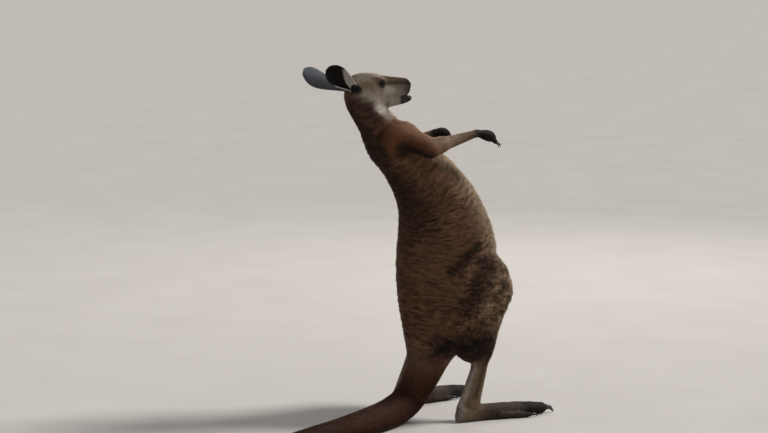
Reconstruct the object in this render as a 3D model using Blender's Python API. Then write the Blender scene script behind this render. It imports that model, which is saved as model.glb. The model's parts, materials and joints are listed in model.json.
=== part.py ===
"""A grown western grey kangaroo standing on both hind feet and its tail, in metres.

+x is where it faces, +y its left, +z up.  The body is one smooth solid described by the
functions below; it is meshed, thinned and parted into its named lengths by thin slits."""
import math

import bmesh
import bpy
import numpy as np
from mathutils import Matrix, Vector

for thing in list(bpy.data.objects):
    bpy.data.objects.remove(thing, do_unlink=True)

GAP = 0.0003            # slit between neighbouring parts
CELL = 0.0050           # grid the body is meshed on
OUT_OF_REACH = 0.12
BODY_TRIANGLES = 2150   # trunk, limbs and tail
FINE_TRIANGLES = 1630   # head, hands and feet

# --- trunk and neck: height, centre x, half depth, half width
TRUNK = [
    (0.190, -0.040, 0.055, 0.055), (0.235, -0.030, 0.093, 0.085), (0.285, -0.022, 0.118, 0.108),
    (0.340, -0.018, 0.134, 0.126), (0.420, -0.011, 0.148, 0.138), (0.500, -0.004, 0.155, 0.140),
    (0.560, -0.006, 0.148, 0.135), (0.620, -0.017, 0.136, 0.126), (0.680, -0.041, 0.129, 0.115),
    (0.740, -0.081, 0.123, 0.103), (0.790, -0.128, 0.119, 0.092), (0.830, -0.164, 0.103, 0.083),
    (0.870, -0.197, 0.086, 0.073), (0.905, -0.232, 0.072, 0.061), (0.940, -0.261, 0.063, 0.052),
    (0.975, -0.275, 0.059, 0.047), (1.000, -0.284, 0.048, 0.043),
]
# --- tail: x, y, z, radius
TAIL = [
    (-0.030, 0.000, 0.300, 0.090), (-0.048, 0.000, 0.235, 0.080), (-0.068, 0.000, 0.170, 0.063),
    (-0.098, -0.006, 0.108, 0.054), (-0.150, -0.032, 0.059, 0.050), (-0.225, -0.088, 0.043, 0.046),
    (-0.320, -0.152, 0.0385, 0.0415), (-0.425, -0.208, 0.0345, 0.0375), (-0.535, -0.252, 0.0295, 0.0325),
    (-0.640, -0.282, 0.0225, 0.0255), (-0.725, -0.300, 0.0140, 0.0165),
]
# --- head, in its own frame: x to the nose from between the eyes
HEAD_AT = np.array([-0.222, 0.0, 1.013])
HEAD_TURN = math.radians(-12)
UPPER_HEAD = [  # x, top, bottom, half width
    (-0.103, 0.002, -0.026, 0.018), (-0.092, 0.016, -0.044, 0.034), (-0.070, 0.028, -0.056, 0.043),
    (-0.045, 0.0335, -0.064, 0.047), (-0.020, 0.0320, -0.067, 0.047), (0.005, 0.0260, -0.063, 0.042),
    (0.028, 0.0205, -0.055, 0.034), (0.050, 0.0185, -0.048, 0.0280), (0.070, 0.0172, -0.0415, 0.0245),
    (0.084, 0.0150, -0.0365, 0.0215), (0.0940, 0.0070, -0.0280, 0.0145),
]
LOWER_JAW = [
    (-0.035, -0.030, -0.073, 0.034), (0.000, -0.030, -0.0745, 0.032), (0.030, -0.033, -0.0710, 0.0265),
    (0.056, -0.0345, -0.0665, 0.0215), (0.078, -0.0355, -0.0610, 0.0170), (0.091, -0.0375, -0.0545, 0.0120),
    (0.1000, -0.0412, -0.0495, 0.0062),
]
EYE_AT, EYE_RADIUS = (0.0008, 0.0280, -0.0008), 0.0132
EARS = {
    "right": dict(root=(-0.085, -0.034, -0.008), along=(-0.733, -0.548, 0.403), face=(0.359, -0.811, -0.451)),
    "left": dict(root=(-0.079, 0.034, -0.013), along=(-0.927, 0.200, 0.319), face=(0.046, 0.872, -0.427)),
}
EAR_THICK, EAR_FROM = 0.0060, 0.020
EAR = [  # along, half width round the curl, radius of the curl
    (0.000, 0.0215, 0.0125), (0.021, 0.0250, 0.0145), (0.048, 0.0320, 0.0190), (0.074, 0.0372, 0.0245),
    (0.096, 0.0382, 0.0310), (0.115, 0.0352, 0.0380), (0.132, 0.0272, 0.0450), (0.144, 0.0165, 0.0500),
    (0.1505, 0.0065, 0.0540),
]
# --- limbs
ARMS = {
    "right": dict(side=-1, shoulder=(-0.180, -0.072, 0.850), elbow=(-0.114, -0.128, 0.828),
                  wrist=(0.045, -0.110, 0.865), palm=(0.085, -0.105, 0.8550), point=(0.92, 0.05, -0.39)),
    "left": dict(side=1, shoulder=(-0.184, 0.072, 0.846), elbow=(-0.118, 0.130, 0.806),
                 wrist=(-0.004, 0.092, 0.850), palm=(0.024, 0.084, 0.848), point=(0.84, -0.15, -0.52)),
}
LEGS = {
    "right": dict(side=-1, hip=(-0.020, -0.080, 0.385), knee=(0.097, -0.118, 0.392),
                  ankle=(0.020, -0.103, 0.052), heel=(0.000, -0.106), turn=math.radians(-4)),
    "left": dict(side=1, hip=(-0.030, 0.080, 0.385), knee=(0.070, 0.138, 0.378),
                 ankle=(-0.082, 0.150, 0.052), heel=(-0.102, 0.148), turn=math.radians(18)),
}
FOOT = [  # x, centre height, half height, half width
    (-0.022, 0.0150, 0.010, 0.0100), (-0.012, 0.0175, 0.020, 0.0165), (0.010, 0.0228, 0.0265, 0.0200),
    (0.050, 0.0242, 0.0280, 0.0205), (0.100, 0.0230, 0.0266, 0.0220), (0.150, 0.0225, 0.0260, 0.0238),
    (0.190, 0.0208, 0.0238, 0.0220), (0.225, 0.0190, 0.0215, 0.0155),
]
TOES = [  # root, knuckle, end, their radii: the big fourth toe, the fifth, the joined second and third
    ((0.150, 0.002, 0.0230), (0.232, 0.002, 0.0208), (0.2736, 0.002, 0.0184), 0.0225, 0.0208, 0.0175),
    ((0.120, 0.014, 0.015), (0.185, 0.027, 0.0110), (0.218, 0.032, 0.0085), 0.0130, 0.0105, 0.0085),
    ((0.130, -0.014, 0.015), (0.185, -0.0200, 0.0100), (0.207, -0.0230, 0.0080), 0.0105, 0.0078, 0.0062),
]
FOLDS = [  # start, end, breadth, depth: flank, behind the knee, armpit
    ((0.130, 0.105, 0.490), (0.005, 0.165, 0.415), 0.020, 0.008),
    ((0.112, 0.180, 0.420), (0.060, 0.180, 0.320), 0.026, 0.008),
    ((-0.215, 0.092, 0.815), (-0.110, 0.098, 0.795), 0.016, 0.006),
]


# ---------------------------------------------------------------- shape functions
def unit(v):
    v = np.asarray(v, float)
    return v / np.linalg.norm(v)


def smooth_line(stations, steps=6):
    """Rows of numbers joined by a smooth curve, with steps pieces between each two."""
    s = np.asarray(stations, float)
    s = np.vstack([2 * s[0] - s[1], s, 2 * s[-1] - s[-2]])
    t = np.linspace(0, 1, steps, endpoint=False)[:, None]
    rows = [0.5 * (2 * b + (c - a) * t + (2 * a - 5 * b + 4 * c - d) * t**2 + (3 * b - a - 3 * c + d) * t**3)
            for a, b, c, d in zip(s[:-3], s[1:-2], s[2:-1], s[3:])]
    return np.vstack(rows + [s[-2:-1]])


def rod(p, a, b, ra, rb):
    """Distance to a round rod whose radius runs from ra to rb."""
    a, b = np.asarray(a, float), np.asarray(b, float)
    ab = b - a
    t = np.clip((p - a) @ ab / (ab @ ab), 0, 1)
    return np.linalg.norm(p - a - t[:, None] * ab, axis=1) - ra - t * (rb - ra)


def tube(p, stations):
    rows = smooth_line(stations)
    return np.min([rod(p, a[:3], b[:3], a[3], b[3]) for a, b in zip(rows[:-1], rows[1:])], axis=0)


def ball(p, centre, radii, turn=None):
    q = p - np.asarray(centre, float)
    q = (q if turn is None else q @ turn.T) / np.asarray(radii, float)
    near_one = np.linalg.norm(q, axis=1)
    return near_one * (near_one - 1) / np.maximum(np.linalg.norm(q / np.asarray(radii, float), axis=1), 1e-9)


def loft(u, v, w, stations, power, end):
    """Ovals across u: each station is u, the oval's middle in v, and its half sizes in v and w."""
    rows = smooth_line(stations)
    middle, a, b = (np.interp(u, rows[:, 0], rows[:, k]) for k in (1, 2, 3))
    k = ((np.abs(v - middle) / a) ** power + (np.abs(w) / b) ** power) ** (1 / power)
    beyond = np.abs(u - (rows[0, 0] + rows[-1, 0]) / 2) - (rows[-1, 0] - rows[0, 0]) / 2
    return cut((k - 1) * np.sqrt(a * b) * 0.93, -beyond, end)


def join(a, b, soft):
    h = np.clip(0.5 + 0.5 * (b - a) / soft, 0, 1)
    return b + (a - b) * h - soft * h * (1 - h)


def cut(a, b, soft):
    return -join(-a, b, soft)


def axes(along, up=(0, 0, 1)):
    """Rows: along, across, and out of the two."""
    x = unit(along)
    y = unit(np.cross(up, x))
    return np.array([x, y, np.cross(x, y)])


def near(p, low, high, make):
    """make(points) inside a box, out of reach elsewhere."""
    inside = ((p > low) & (p < high)).all(1)
    d = np.full(len(p), OUT_OF_REACH)
    if inside.any():
        d[inside] = make(p[inside])
    return d


# ---------------------------------------------------------------- the animal
HEAD_AXES = np.array([[math.cos(HEAD_TURN), math.sin(HEAD_TURN), 0],
                      [-math.sin(HEAD_TURN), math.cos(HEAD_TURN), 0], [0, 0, 1.0]])


def from_head(q):
    return np.asarray(q, float) @ HEAD_AXES + HEAD_AT


def head(p):
    q = (p - HEAD_AT) @ HEAD_AXES.T
    q[:, 1] = np.abs(q[:, 1])
    skull, jaw = ([(x, (top + low) / 2, (top - low) / 2, wide) for x, top, low, wide in rows]
                  for rows in (UPPER_HEAD, LOWER_JAW))
    d = loft(q[:, 0], q[:, 2], q[:, 1], skull, 2.15, 0.014)
    d = join(d, ball(q, (-0.026, 0.031, -0.028), (0.034, 0.015, 0.026)), 0.012)      # cheek
    d = join(d, ball(q, (-0.009, 0.030, 0.0165), (0.019, 0.009, 0.0065)), 0.008)     # brow
    d = join(d, ball(q, (-0.082, 0.028, -0.005), (0.023, 0.017, 0.022)), 0.012)       # root of the ear
    return join(d, loft(q[:, 0], q[:, 2], q[:, 1], jaw, 2.1, 0.010), 0.004)


def palm_axes(arm):
    x = unit(arm["point"])
    y = unit(np.cross((0.35, 0.25 * arm["side"], 1.0), x))
    return np.array([x, y, np.cross(x, y)])


def fingers(arm):
    """Root and end of each of the five fingers."""
    turn = palm_axes(arm)
    for spread, long in ((-1.5, 0.017), (-0.75, 0.026), (0, 0.029), (0.75, 0.026), (1.4, 0.018)):
        root = turn.T @ np.array([0.010 - 0.002 * abs(spread), spread * 0.0085, -0.002])
        yield root + arm["palm"], root + arm["palm"] + turn.T @ np.array([long, spread * 0.0035, -0.006])


def arm_form(p, arm):
    shoulder, elbow, wrist, palm = (np.array(arm[n]) for n in ("shoulder", "elbow", "wrist", "palm"))
    muscle = elbow + (wrist - elbow) * 0.22
    d = ball(p, shoulder * [1, 0.84, 1] + [0.0, 0, -0.004], (0.064, 0.044, 0.062))
    for a, b, ra, rb, soft in ((shoulder + [0.014, 0, 0.004], elbow, 0.042, 0.030, 0.020),
                               (elbow, muscle, 0.0265, 0.0235, 0.012), (muscle, wrist, 0.0225, 0.0118, 0.012),
                               (wrist, palm, 0.0118, 0.0145, 0.008)):
        d = join(d, rod(p, a, b, ra, rb), soft)
    d = join(d, ball(p, palm, (0.024, 0.0185, 0.0150), palm_axes(arm)), 0.008)
    for root, end in fingers(arm):
        d = join(d, rod(p, root, end, 0.0074, 0.0060), 0.004)
    return d


def from_foot(q, leg):
    c, s = math.cos(leg["turn"]), math.sin(leg["turn"])
    return np.array([leg["heel"][0] + q[0] * c - q[1] * s, leg["heel"][1] + leg["side"] * (q[0] * s + q[1] * c), q[2]])


def foot(p, leg):
    c, s = math.cos(leg["turn"]), math.sin(leg["turn"])
    x, y = p[:, 0] - leg["heel"][0], (p[:, 1] - leg["heel"][1]) * leg["side"]
    q = np.stack([x * c + y * s, y * c - x * s, p[:, 2]], 1)
    d = loft(q[:, 0], q[:, 2], q[:, 1], FOOT, 2.3, 0.012)
    for root, knuckle, end, ra, rb, rc in TOES:
        d = join(d, join(rod(q, root, knuckle, ra, rb), rod(q, knuckle, end, rb, rc), 0.003), 0.005)
    return d


def shin_top(leg):
    return np.array(leg["ankle"]) + [0.052, 0, 0.150]


def leg_form(p, leg):
    hip, knee, ankle = (np.array(leg[n]) for n in ("hip", "knee", "ankle"))
    side, shin = leg["side"], shin_top(leg)
    d = ball(p, hip * 0.52 + knee * 0.48 + [-0.004, -side * 0.020, -0.016], (0.125, 0.072, 0.142))
    d = join(d, rod(p, hip + [0.03, side * 0.006, 0.035], knee + [0.0, 0, 0.006], 0.082, 0.056), 0.04)
    d = join(d, ball(p, knee + [-0.010, -side * 0.012, 0.060], (0.058, 0.050, 0.062)), 0.03)
    d = join(d, ball(p, hip * 0.40 + knee * 0.60 + [-0.012, -side * 0.006, -0.136], (0.070, 0.050, 0.076)), 0.035)
    for a, b, ra, rb, soft in ((knee, shin, 0.048, 0.0235, 0.030), (shin, ankle + [0.020, 0, 0.006], 0.0215, 0.022, 0.012),
                               (shin + [-0.006, 0, 0], ankle + [-0.022, 0, -0.008], 0.016, 0.0125, 0.014)):
        d = join(d, rod(p, a, b, ra, rb), soft)
    return join(d, foot(p, leg), 0.014)


def body(p):
    """Signed distance to the coat's outside, ears and claws left out."""
    d = near(p, (-0.42, -0.21, 0.11), (0.23, 0.21, 1.08),
             lambda q: loft(q[:, 2], q[:, 0], q[:, 1], TRUNK, 2.0, 0.03))
    d = join(d, near(p, (-0.81, -0.39, -0.06), (0.12, 0.15, 0.45), lambda q: tube(q, TAIL)), 0.035)
    d = join(d, near(p, (-0.38, -0.14, 0.88), (-0.07, 0.11, 1.10), head), 0.016)
    for arm in ARMS.values():
        reach = np.array([arm[n] for n in ("shoulder", "elbow", "wrist", "palm")])
        d = join(d, near(p, reach.min(0) - 0.11, reach.max(0) + 0.11, lambda q: arm_form(q, arm)), 0.020)
    for leg in LEGS.values():
        low, high = np.sort([leg["side"] * -0.01, leg["side"] * 0.28])
        d = join(d, near(p, (-0.26, low, -0.04), (0.38, high, 0.62), lambda q: leg_form(q, leg)), 0.024)
    q = p * [1, 0, 1] + [[0, 1, 0]] * np.abs(p[:, 1:2])
    for a, b, breadth, depth in FOLDS:
        d = d + depth * np.exp(-(rod(q, a, b, 0, 0) / breadth) ** 2)
    return d


# ---------------------------------------------------------------- meshing
def surface(form, low, high, cell, block=8):
    """Surface-net mesh of form(points) = 0, worked out only in blocks near it."""
    low, high = np.asarray(low, float), np.asarray(high, float)
    n = np.ceil((high - low) / (cell * block)).astype(int)
    blocks = np.stack(np.meshgrid(*(np.arange(k) for k in n), indexing="ij"), -1).reshape(-1, 3)
    value = form(low + (blocks + 0.5) * cell * block)
    grid = np.pad(np.kron(value.reshape(n), np.ones((block,) * 3)), ((0, 1),) * 3, mode="edge")
    close = blocks[np.abs(value) < 1.6 * cell * block + 0.004]
    step = np.stack(np.meshgrid(*[np.arange(block + 1)] * 3, indexing="ij"), -1).reshape(-1, 3)
    flat = np.unique(np.ravel_multi_index((close[:, None] * block + step).reshape(-1, 3).T, grid.shape))
    where = np.stack(np.unravel_index(flat, grid.shape), 1)
    for s in range(0, len(flat), 300000):
        grid.reshape(-1)[flat[s:s + 300000]] = form(low + where[s:s + 300000] * cell)
    return nets(grid, low, cell)


def untangled(value):
    """Fills the grid corners where two sheets of the surface would meet along an edge or at a point."""
    ends = [slice(0, -1), slice(1, None)]
    for _ in range(20):
        inside, fill = value < 0, np.zeros(value.shape, bool)
        for axis in range(3):
            u, w = (k for k in range(3) if k != axis)
            part = {}
            for i in (0, 1):
                for j in (0, 1):
                    index = [slice(None)] * 3
                    index[u], index[w] = ends[i], ends[j]
                    part[i, j] = tuple(index)
            a, b, c, d = (inside[part[k]] for k in ((0, 0), (1, 1), (0, 1), (1, 0)))
            crossed = (a == b) & (c == d) & (a != c)
            for k in part:
                fill[part[k]] |= crossed & ~inside[part[k]]
        if not fill.any():
            break
        value = np.where(fill, -1e-5, value)
    return value


def nets(value, low, cell):
    value = untangled(value)
    inside = value < 0
    ends = [slice(0, -1), slice(1, None)]
    corners = [(i, j, k) for i in (0, 1) for j in (0, 1) for k in (0, 1)]
    count = sum(inside[ends[i], ends[j], ends[k]].astype(int) for i, j, k in corners)
    cells = np.argwhere((count > 0) & (count < 8))
    number = np.full(count.shape, -1)
    number[tuple(cells.T)] = np.arange(len(cells))
    total, hits = np.zeros((len(cells), 3)), np.zeros(len(cells))
    for corner in corners:
        for axis in (k for k in range(3) if not corner[k]):
            other = np.array(corner) + np.eye(3, dtype=int)[axis]
            a, b = value[tuple((cells + corner).T)], value[tuple((cells + other).T)]
            hit = (a < 0) != (b < 0)
            t = np.where(hit, a / np.where(hit, a - b, 1), 0)
            total += (corner + t[:, None] * (other - corner)) * hit[:, None]
            hits += hit
    points = low + (cells + total / hits[:, None]) * cell
    quads = []
    for axis in range(3):
        u, w = np.eye(3, dtype=int)[(axis + 1) % 3], np.eye(3, dtype=int)[(axis + 2) % 3]
        here, there = [slice(1, -1)] * 3, [slice(1, -1)] * 3
        here[axis], there[axis] = ends
        a, b = inside[tuple(here)], inside[tuple(there)]
        edge = np.argwhere(a != b)
        flip = a[tuple(edge.T)]
        at = edge + u + w
        quad = np.stack([number[tuple(q.T)] for q in (at - u - w, at - w, at, at - u)], 1)
        quads.append(np.where(flip[:, None], quad, quad[:, ::-1]))
    return points, np.concatenate(quads)


def new_object(name, points, faces, material=None):
    mesh = bpy.data.meshes.new(name)
    mesh.from_pydata([tuple(map(float, p)) for p in points], [], [tuple(map(int, f)) for f in faces])
    mesh.validate()
    thing = bpy.data.objects.new(name, mesh)
    bpy.context.collection.objects.link(thing)
    if material:
        mesh.materials.append(material)
    return thing


def applied(thing):
    """Bakes the object's modifiers into its mesh."""
    shape = bpy.data.meshes.new_from_object(thing.evaluated_get(bpy.context.evaluated_depsgraph_get()))
    thing.modifiers.clear()
    thing.data = shape
    return thing


def boolean(thing, cutter, operation="DIFFERENCE"):
    tool = thing.modifiers.new("cut", "BOOLEAN")
    tool.operation, tool.solver, tool.object = operation, "EXACT", cutter
    applied(thing)
    bpy.data.objects.remove(cutter, do_unlink=True)
    return thing


def thinned(thing, group, target):
    """Thins the faces of one vertex group down to a number of triangles."""
    members = {v.index for v in thing.data.vertices
               if any(g.group == thing.vertex_groups[group].index and g.weight > 0.5 for g in v.groups)}
    total = sum(len(f.vertices) - 2 for f in thing.data.polygons)
    held = sum(len(f.vertices) - 2 for f in thing.data.polygons if all(v in members for v in f.vertices))
    tool = thing.modifiers.new("thin", "DECIMATE")
    tool.ratio, tool.vertex_group = (total - held + target) / total, group
    return applied(thing)


def loose(thing):
    """Splits an object into its separate shells."""
    work = bmesh.new()
    work.from_mesh(thing.data)
    bmesh.ops.remove_doubles(work, verts=work.verts[:], dist=1e-6)
    bmesh.ops.triangulate(work, faces=work.faces[:])
    left, made = set(work.verts), []
    while left:
        front = [left.pop()]
        shell = {front[0]: 0}
        while front:
            for edge in front.pop().link_edges:
                for v in edge.verts:
                    if v in left:
                        left.remove(v)
                        shell[v] = len(shell)
                        front.append(v)
        faces = {f for v in shell for f in v.link_faces}
        made.append(new_object("shell", [v.co for v in shell], [[shell[v] for v in f.verts] for f in faces]))
    work.free()
    bpy.data.objects.remove(thing, do_unlink=True)
    return made


def floor_cut(thing):
    """Takes off what is under the floor, which leaves the flats that the animal rests on."""
    work = bmesh.new()
    work.from_mesh(thing.data)
    everything = work.verts[:] + work.edges[:] + work.faces[:]
    bmesh.ops.bisect_plane(work, geom=everything, plane_co=(0, 0, 0), plane_no=(0, 0, -1), clear_outer=True)
    bmesh.ops.holes_fill(work, edges=[e for e in work.edges if e.is_boundary], sides=0)
    bmesh.ops.triangulate(work, faces=work.faces[:])
    work.to_mesh(thing.data)
    work.free()
    return thing


def plate(centre, normal, half_long, half_wide, up=(0, 1, 0), half_thick=GAP / 2):
    """A thin slab across a limb; half_wide runs along up."""
    z = unit(normal)
    y = unit(np.asarray(up) - np.dot(up, z) * z)
    frame = np.array([np.cross(y, z) * half_long, y * half_wide, z * half_thick])
    corners = np.array([(i, j, k) for i in (-1, 1) for j in (-1, 1) for k in (-1, 1)]) @ frame + centre
    faces = [(0, 1, 3, 2), (4, 6, 7, 5), (0, 4, 5, 1), (2, 3, 7, 6), (0, 2, 6, 4), (1, 5, 7, 3)]
    return new_object("slit", corners, faces)


def slits():
    """Where the body is parted: neck, waist, tail, then each limb."""
    yield (-0.268, 0, 0.961), (0.33, 0, 0.944), 0.088, 0.080
    yield (-0.245, 0, 0.914), (-0.10, 0, 0.995), 0.095, 0.080
    yield (-0.030, 0, 0.665), (-0.35, 0, 0.937), 0.200, 0.170
    for k in (4, 6, 8):
        here, ahead = np.array(TAIL[k][:3]), np.array(TAIL[k + 1][:3]) - TAIL[k - 1][:3]
        yield here, ahead, 0.075, 0.075
    for arm in ARMS.values():
        side = arm["side"]
        yield (-0.165, side * 0.080, 0.850), (0, side * 0.963, 0.27), 0.085, 0.100, (1, 0, 0)
        elbow, wrist = np.array(arm["elbow"]), np.array(arm["wrist"])
        yield elbow + (wrist - elbow) * (0.19 if side < 0 else 0.28), wrist - elbow, 0.040, 0.040
        yield wrist, np.array(arm["palm"]) - elbow, 0.022, 0.022
    for leg in LEGS.values():
        yield np.array(leg["ankle"]) + [0.012, 0, 0.024], (0.30, 0, 0.95), 0.052, 0.045


def lumps():
    """Parts that meet round a corner: a face's centre, its normal, half sizes, how deep the part goes from it."""
    for label, leg in LEGS.items():
        side, shin = leg["side"], shin_top(leg)
        yield "shin_" + label, (shin[0] + 0.040, side * 0.150, 0.205), (0.28, 0, 0.96), 0.085, 0.092, 0.40, (0, 1, 0)
    yield "tail_root", (-0.085, 0, 0.193), (-0.22, 0, 0.975), 0.130, 0.160, 0.40, (0, 1, 0)
    for label, leg in LEGS.items():
        side = leg["side"]
        yield "thigh_" + label, (0.015, side * 0.0876, 0.300), (0, side * -0.964, -0.265), 0.210, 0.230, 0.40, (1, 0, 0)


def block(centre, normal, half_long, half_wide, depth, up, grow=0.0):
    middle = np.asarray(centre) - unit(normal) * depth / 2
    return plate(middle, normal, half_long + grow, half_wide + grow, up, depth / 2 + grow)


ANCHORS = {   # a point about the middle of each part
    "head": from_head((0, 0, -0.02)), "neck": (-0.258, 0, 0.935), "chest": (-0.13, 0, 0.79), "belly": (-0.02, 0, 0.45),
    "tail_root": (-0.095, -0.010, 0.115), "tail_middle": (-0.225, -0.088, 0.043),
    "tail_rear": (-0.425, -0.208, 0.034), "tail_tip": (-0.630, -0.280, 0.023),
}
for label, arm in ARMS.items():
    shoulder, elbow, wrist, palm = (np.array(arm[n]) for n in ("shoulder", "elbow", "wrist", "palm"))
    ANCHORS["upper_arm_" + label] = (shoulder + elbow) / 2
    ANCHORS["forearm_" + label] = (elbow + wrist * 1.3) / 2.3
    ANCHORS["hand_" + label] = palm + np.array([0.01, 0, -0.005])
for label, leg in LEGS.items():
    ANCHORS["thigh_" + label] = (np.array(leg["hip"]) + leg["knee"]) / 2 + [0, leg["side"] * 0.02, -0.03]
    ANCHORS["shin_" + label] = np.array(leg["ankle"]) + [0.03, 0, 0.09]
    ANCHORS["foot_" + label] = from_foot((0.12, 0, 0.02), leg)


def material(name, colour, rough):
    made = bpy.data.materials.new(name)
    made.use_nodes = True
    shader = made.node_tree.nodes["Principled BSDF"]
    shader.inputs["Base Color"].default_value = (*colour, 1)
    shader.inputs["Roughness"].default_value = rough
    return made


COATS = {
    "head": (0.16, 0.105, 0.075), "neck": (0.10, 0.065, 0.048), "chest": (0.11, 0.068, 0.048),
    "belly": (0.12, 0.082, 0.058), "tail_root": (0.10, 0.062, 0.042), "tail_middle": (0.085, 0.052, 0.036),
    "tail_rear": (0.07, 0.044, 0.032), "tail_tip": (0.05, 0.033, 0.026), "upper_arm": (0.19, 0.095, 0.055),
    "forearm": (0.15, 0.085, 0.052), "hand": (0.022, 0.018, 0.017), "thigh": (0.13, 0.088, 0.06),
    "shin": (0.20, 0.155, 0.12), "foot": (0.15, 0.125, 0.10), "ear": (0.05, 0.048, 0.05),
}


def coat(name):
    kind = name.rsplit("_", 1)[0] if name.endswith(("_left", "_right")) else name
    return material("coat_" + name, COATS[kind], 0.85)


# ---------------------------------------------------------------- building
points, quads = surface(body, (-0.80, -0.40, -0.03), (0.38, 0.28, 1.10), CELL)
whole = new_object("whole", points, quads)
fine = (np.linalg.norm(points - from_head((0.01, 0, -0.02)), axis=1) < 0.125) | (points[:, 2] < 0.06) & (points[:, 0] > 0.04)
for arm in ARMS.values():
    fine |= np.linalg.norm(points - arm["palm"], axis=1) < 0.055
for label, chosen in (("plain", ~fine), ("fine", fine)):
    whole.vertex_groups.new(name=label).add(np.flatnonzero(chosen).tolist(), 1.0, "REPLACE")
thinned(whole, "plain", BODY_TRIANGLES)
thinned(whole, "fine", FINE_TRIANGLES)
floor_cut(whole)
for row in slits():
    boolean(whole, plate(*row))
lengths = loose(whole)
lengths.sort(key=lambda thing: -np.ptp([v.co[2] for v in thing.data.vertices]))
core = lengths[0]
for name, *row in lumps():
    lump = core.copy()
    lump.data = core.data.copy()
    bpy.context.collection.objects.link(lump)
    boolean(lump, block(*row), "INTERSECT")
    boolean(core, block(*row, grow=GAP))
    lengths.append(lump)

parts = {}
for thing in [bit for length in lengths for bit in loose(length)]:
    at = np.mean([v.co for v in thing.data.vertices], axis=0)
    name = min(ANCHORS, key=lambda n: np.linalg.norm(at - ANCHORS[n]))
    size = len(thing.data.vertices)
    if name in parts and len(parts[name].data.vertices) > size:
        bpy.data.objects.remove(thing, do_unlink=True)
        continue
    if name in parts:
        bpy.data.objects.remove(parts.pop(name), do_unlink=True)
    parts[name] = thing
for name, thing in parts.items():
    thing.name = name
    thing.data.name = name
    thing.data.materials.clear()
    thing.data.materials.append(coat(name))


# ---------------------------------------------------------------- eyes
def sphere(name, centre, radius, coat_of=None, fine_steps=2):
    made = bmesh.new()
    bmesh.ops.create_icosphere(made, subdivisions=fine_steps, radius=radius)
    bmesh.ops.translate(made, verts=made.verts[:], vec=centre)
    thing = new_object(name, [v.co for v in made.verts], [[v.index for v in f.verts] for f in made.faces], coat_of)
    made.free()
    return thing


for label, side in (("right", -1), ("left", 1)):
    centre = from_head(np.array(EYE_AT) * [1, side, 1])
    boolean(parts["head"], sphere("socket", centre, EYE_RADIUS + GAP))
    sphere("eye_" + label, centre, EYE_RADIUS, material("wet_eye_" + label, (0.012, 0.007, 0.005), 0.08))


# ---------------------------------------------------------------- ears
def ear_point(u, turn_share, out):
    """u along the ear, turn_share from -1 to 1 round its curl, out of its hollow face by so much."""
    row = [np.interp(u, EAR_LINE[:, 0], EAR_LINE[:, k]) for k in (1, 2)]
    angle = turn_share * row[0] / row[1]
    return np.array([u, (row[1] - out) * math.sin(angle), row[1] - (row[1] - out) * math.cos(angle)])


EAR_LINE = smooth_line(EAR, 6)
for label, ear in EARS.items():
    z = unit(ear["face"])
    x = unit(np.array(ear["along"]) - np.dot(ear["along"], z) * z)
    frame, root = np.array([x, np.cross(z, x), z]), from_head(ear["root"])
    ups, rounds = np.linspace(EAR_FROM, EAR[-1][0], 11), np.linspace(-1, 1, 8)
    shell = [root + ear_point(u, t, out) @ frame for out in (-EAR_THICK / 2, EAR_THICK / 2) for u in ups for t in rounds]
    wide, rows = len(rounds), len(ups)
    index = np.arange(2 * rows * wide).reshape(2, rows, wide)
    faces = [(index[0, i, j], index[0, i, j + 1], index[0, i + 1, j + 1], index[0, i + 1, j])
             for i in range(rows - 1) for j in range(wide - 1)]
    faces += [(index[1, i, j], index[1, i + 1, j], index[1, i + 1, j + 1], index[1, i, j + 1])
              for i in range(rows - 1) for j in range(wide - 1)]
    rim = [index[:, 0, j] for j in range(wide)] + [index[:, i, -1] for i in range(1, rows)]
    rim += [index[:, -1, j] for j in range(wide - 2, -1, -1)] + [index[:, i, 0] for i in range(rows - 2, 0, -1)]
    faces += [(a[0], a[1], b[1], b[0]) for a, b in zip(rim, rim[1:] + rim[:1])]
    thing = new_object("ear_" + label, shell, faces, coat("ear_" + label))
    work = bmesh.new()
    work.from_mesh(thing.data)
    bmesh.ops.recalc_face_normals(work, faces=work.faces[:])
    bmesh.ops.triangulate(work, faces=work.faces[:])
    work.to_mesh(thing.data)
    work.free()
    parts["ear_" + label] = thing
    # the head keeps clear of the ear's root
    clear = thing.copy()
    clear.data = thing.data.copy()
    bpy.context.collection.objects.link(clear)
    swell = clear.modifiers.new("swell", "DISPLACE")
    swell.strength, swell.mid_level = GAP * 1.6, 0
    applied(clear)
    boolean(parts["head"], clear)


# ---------------------------------------------------------------- claws
HORN = (0.018, 0.015, 0.013)


def claw(name, base, tip, droop, radius, rings=4, sides=6):
    """A curved, tapering horn from base to tip that bends towards droop."""
    base, tip, droop = (np.asarray(v, float) for v in (base, tip, droop))
    frame = axes(tip - base, up=-droop)
    points = []
    for k in range(rings):
        t = k / rings
        at = base + (tip - base) * t - droop * (4 * t * (1 - t)) * 0.16 * np.linalg.norm(tip - base)
        r = radius * (1 - t) ** 0.7
        points += [at + r * math.cos(a) * frame[1] * 0.8 + r * math.sin(a) * frame[2]
                   for a in np.arange(sides) * 2 * math.pi / sides]
    points += [tip, base]
    faces = [(k * sides + i, k * sides + (i + 1) % sides, (k + 1) * sides + (i + 1) % sides, (k + 1) * sides + i)
             for k in range(rings - 1) for i in range(sides)]
    last = (rings - 1) * sides
    faces += [(last + i, last + (i + 1) % sides, rings * sides) for i in range(sides)]
    faces += [((i + 1) % sides, i, rings * sides + 1) for i in range(sides)]
    return new_object(name, points, faces, material("horn_" + name, HORN, 0.45))


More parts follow.
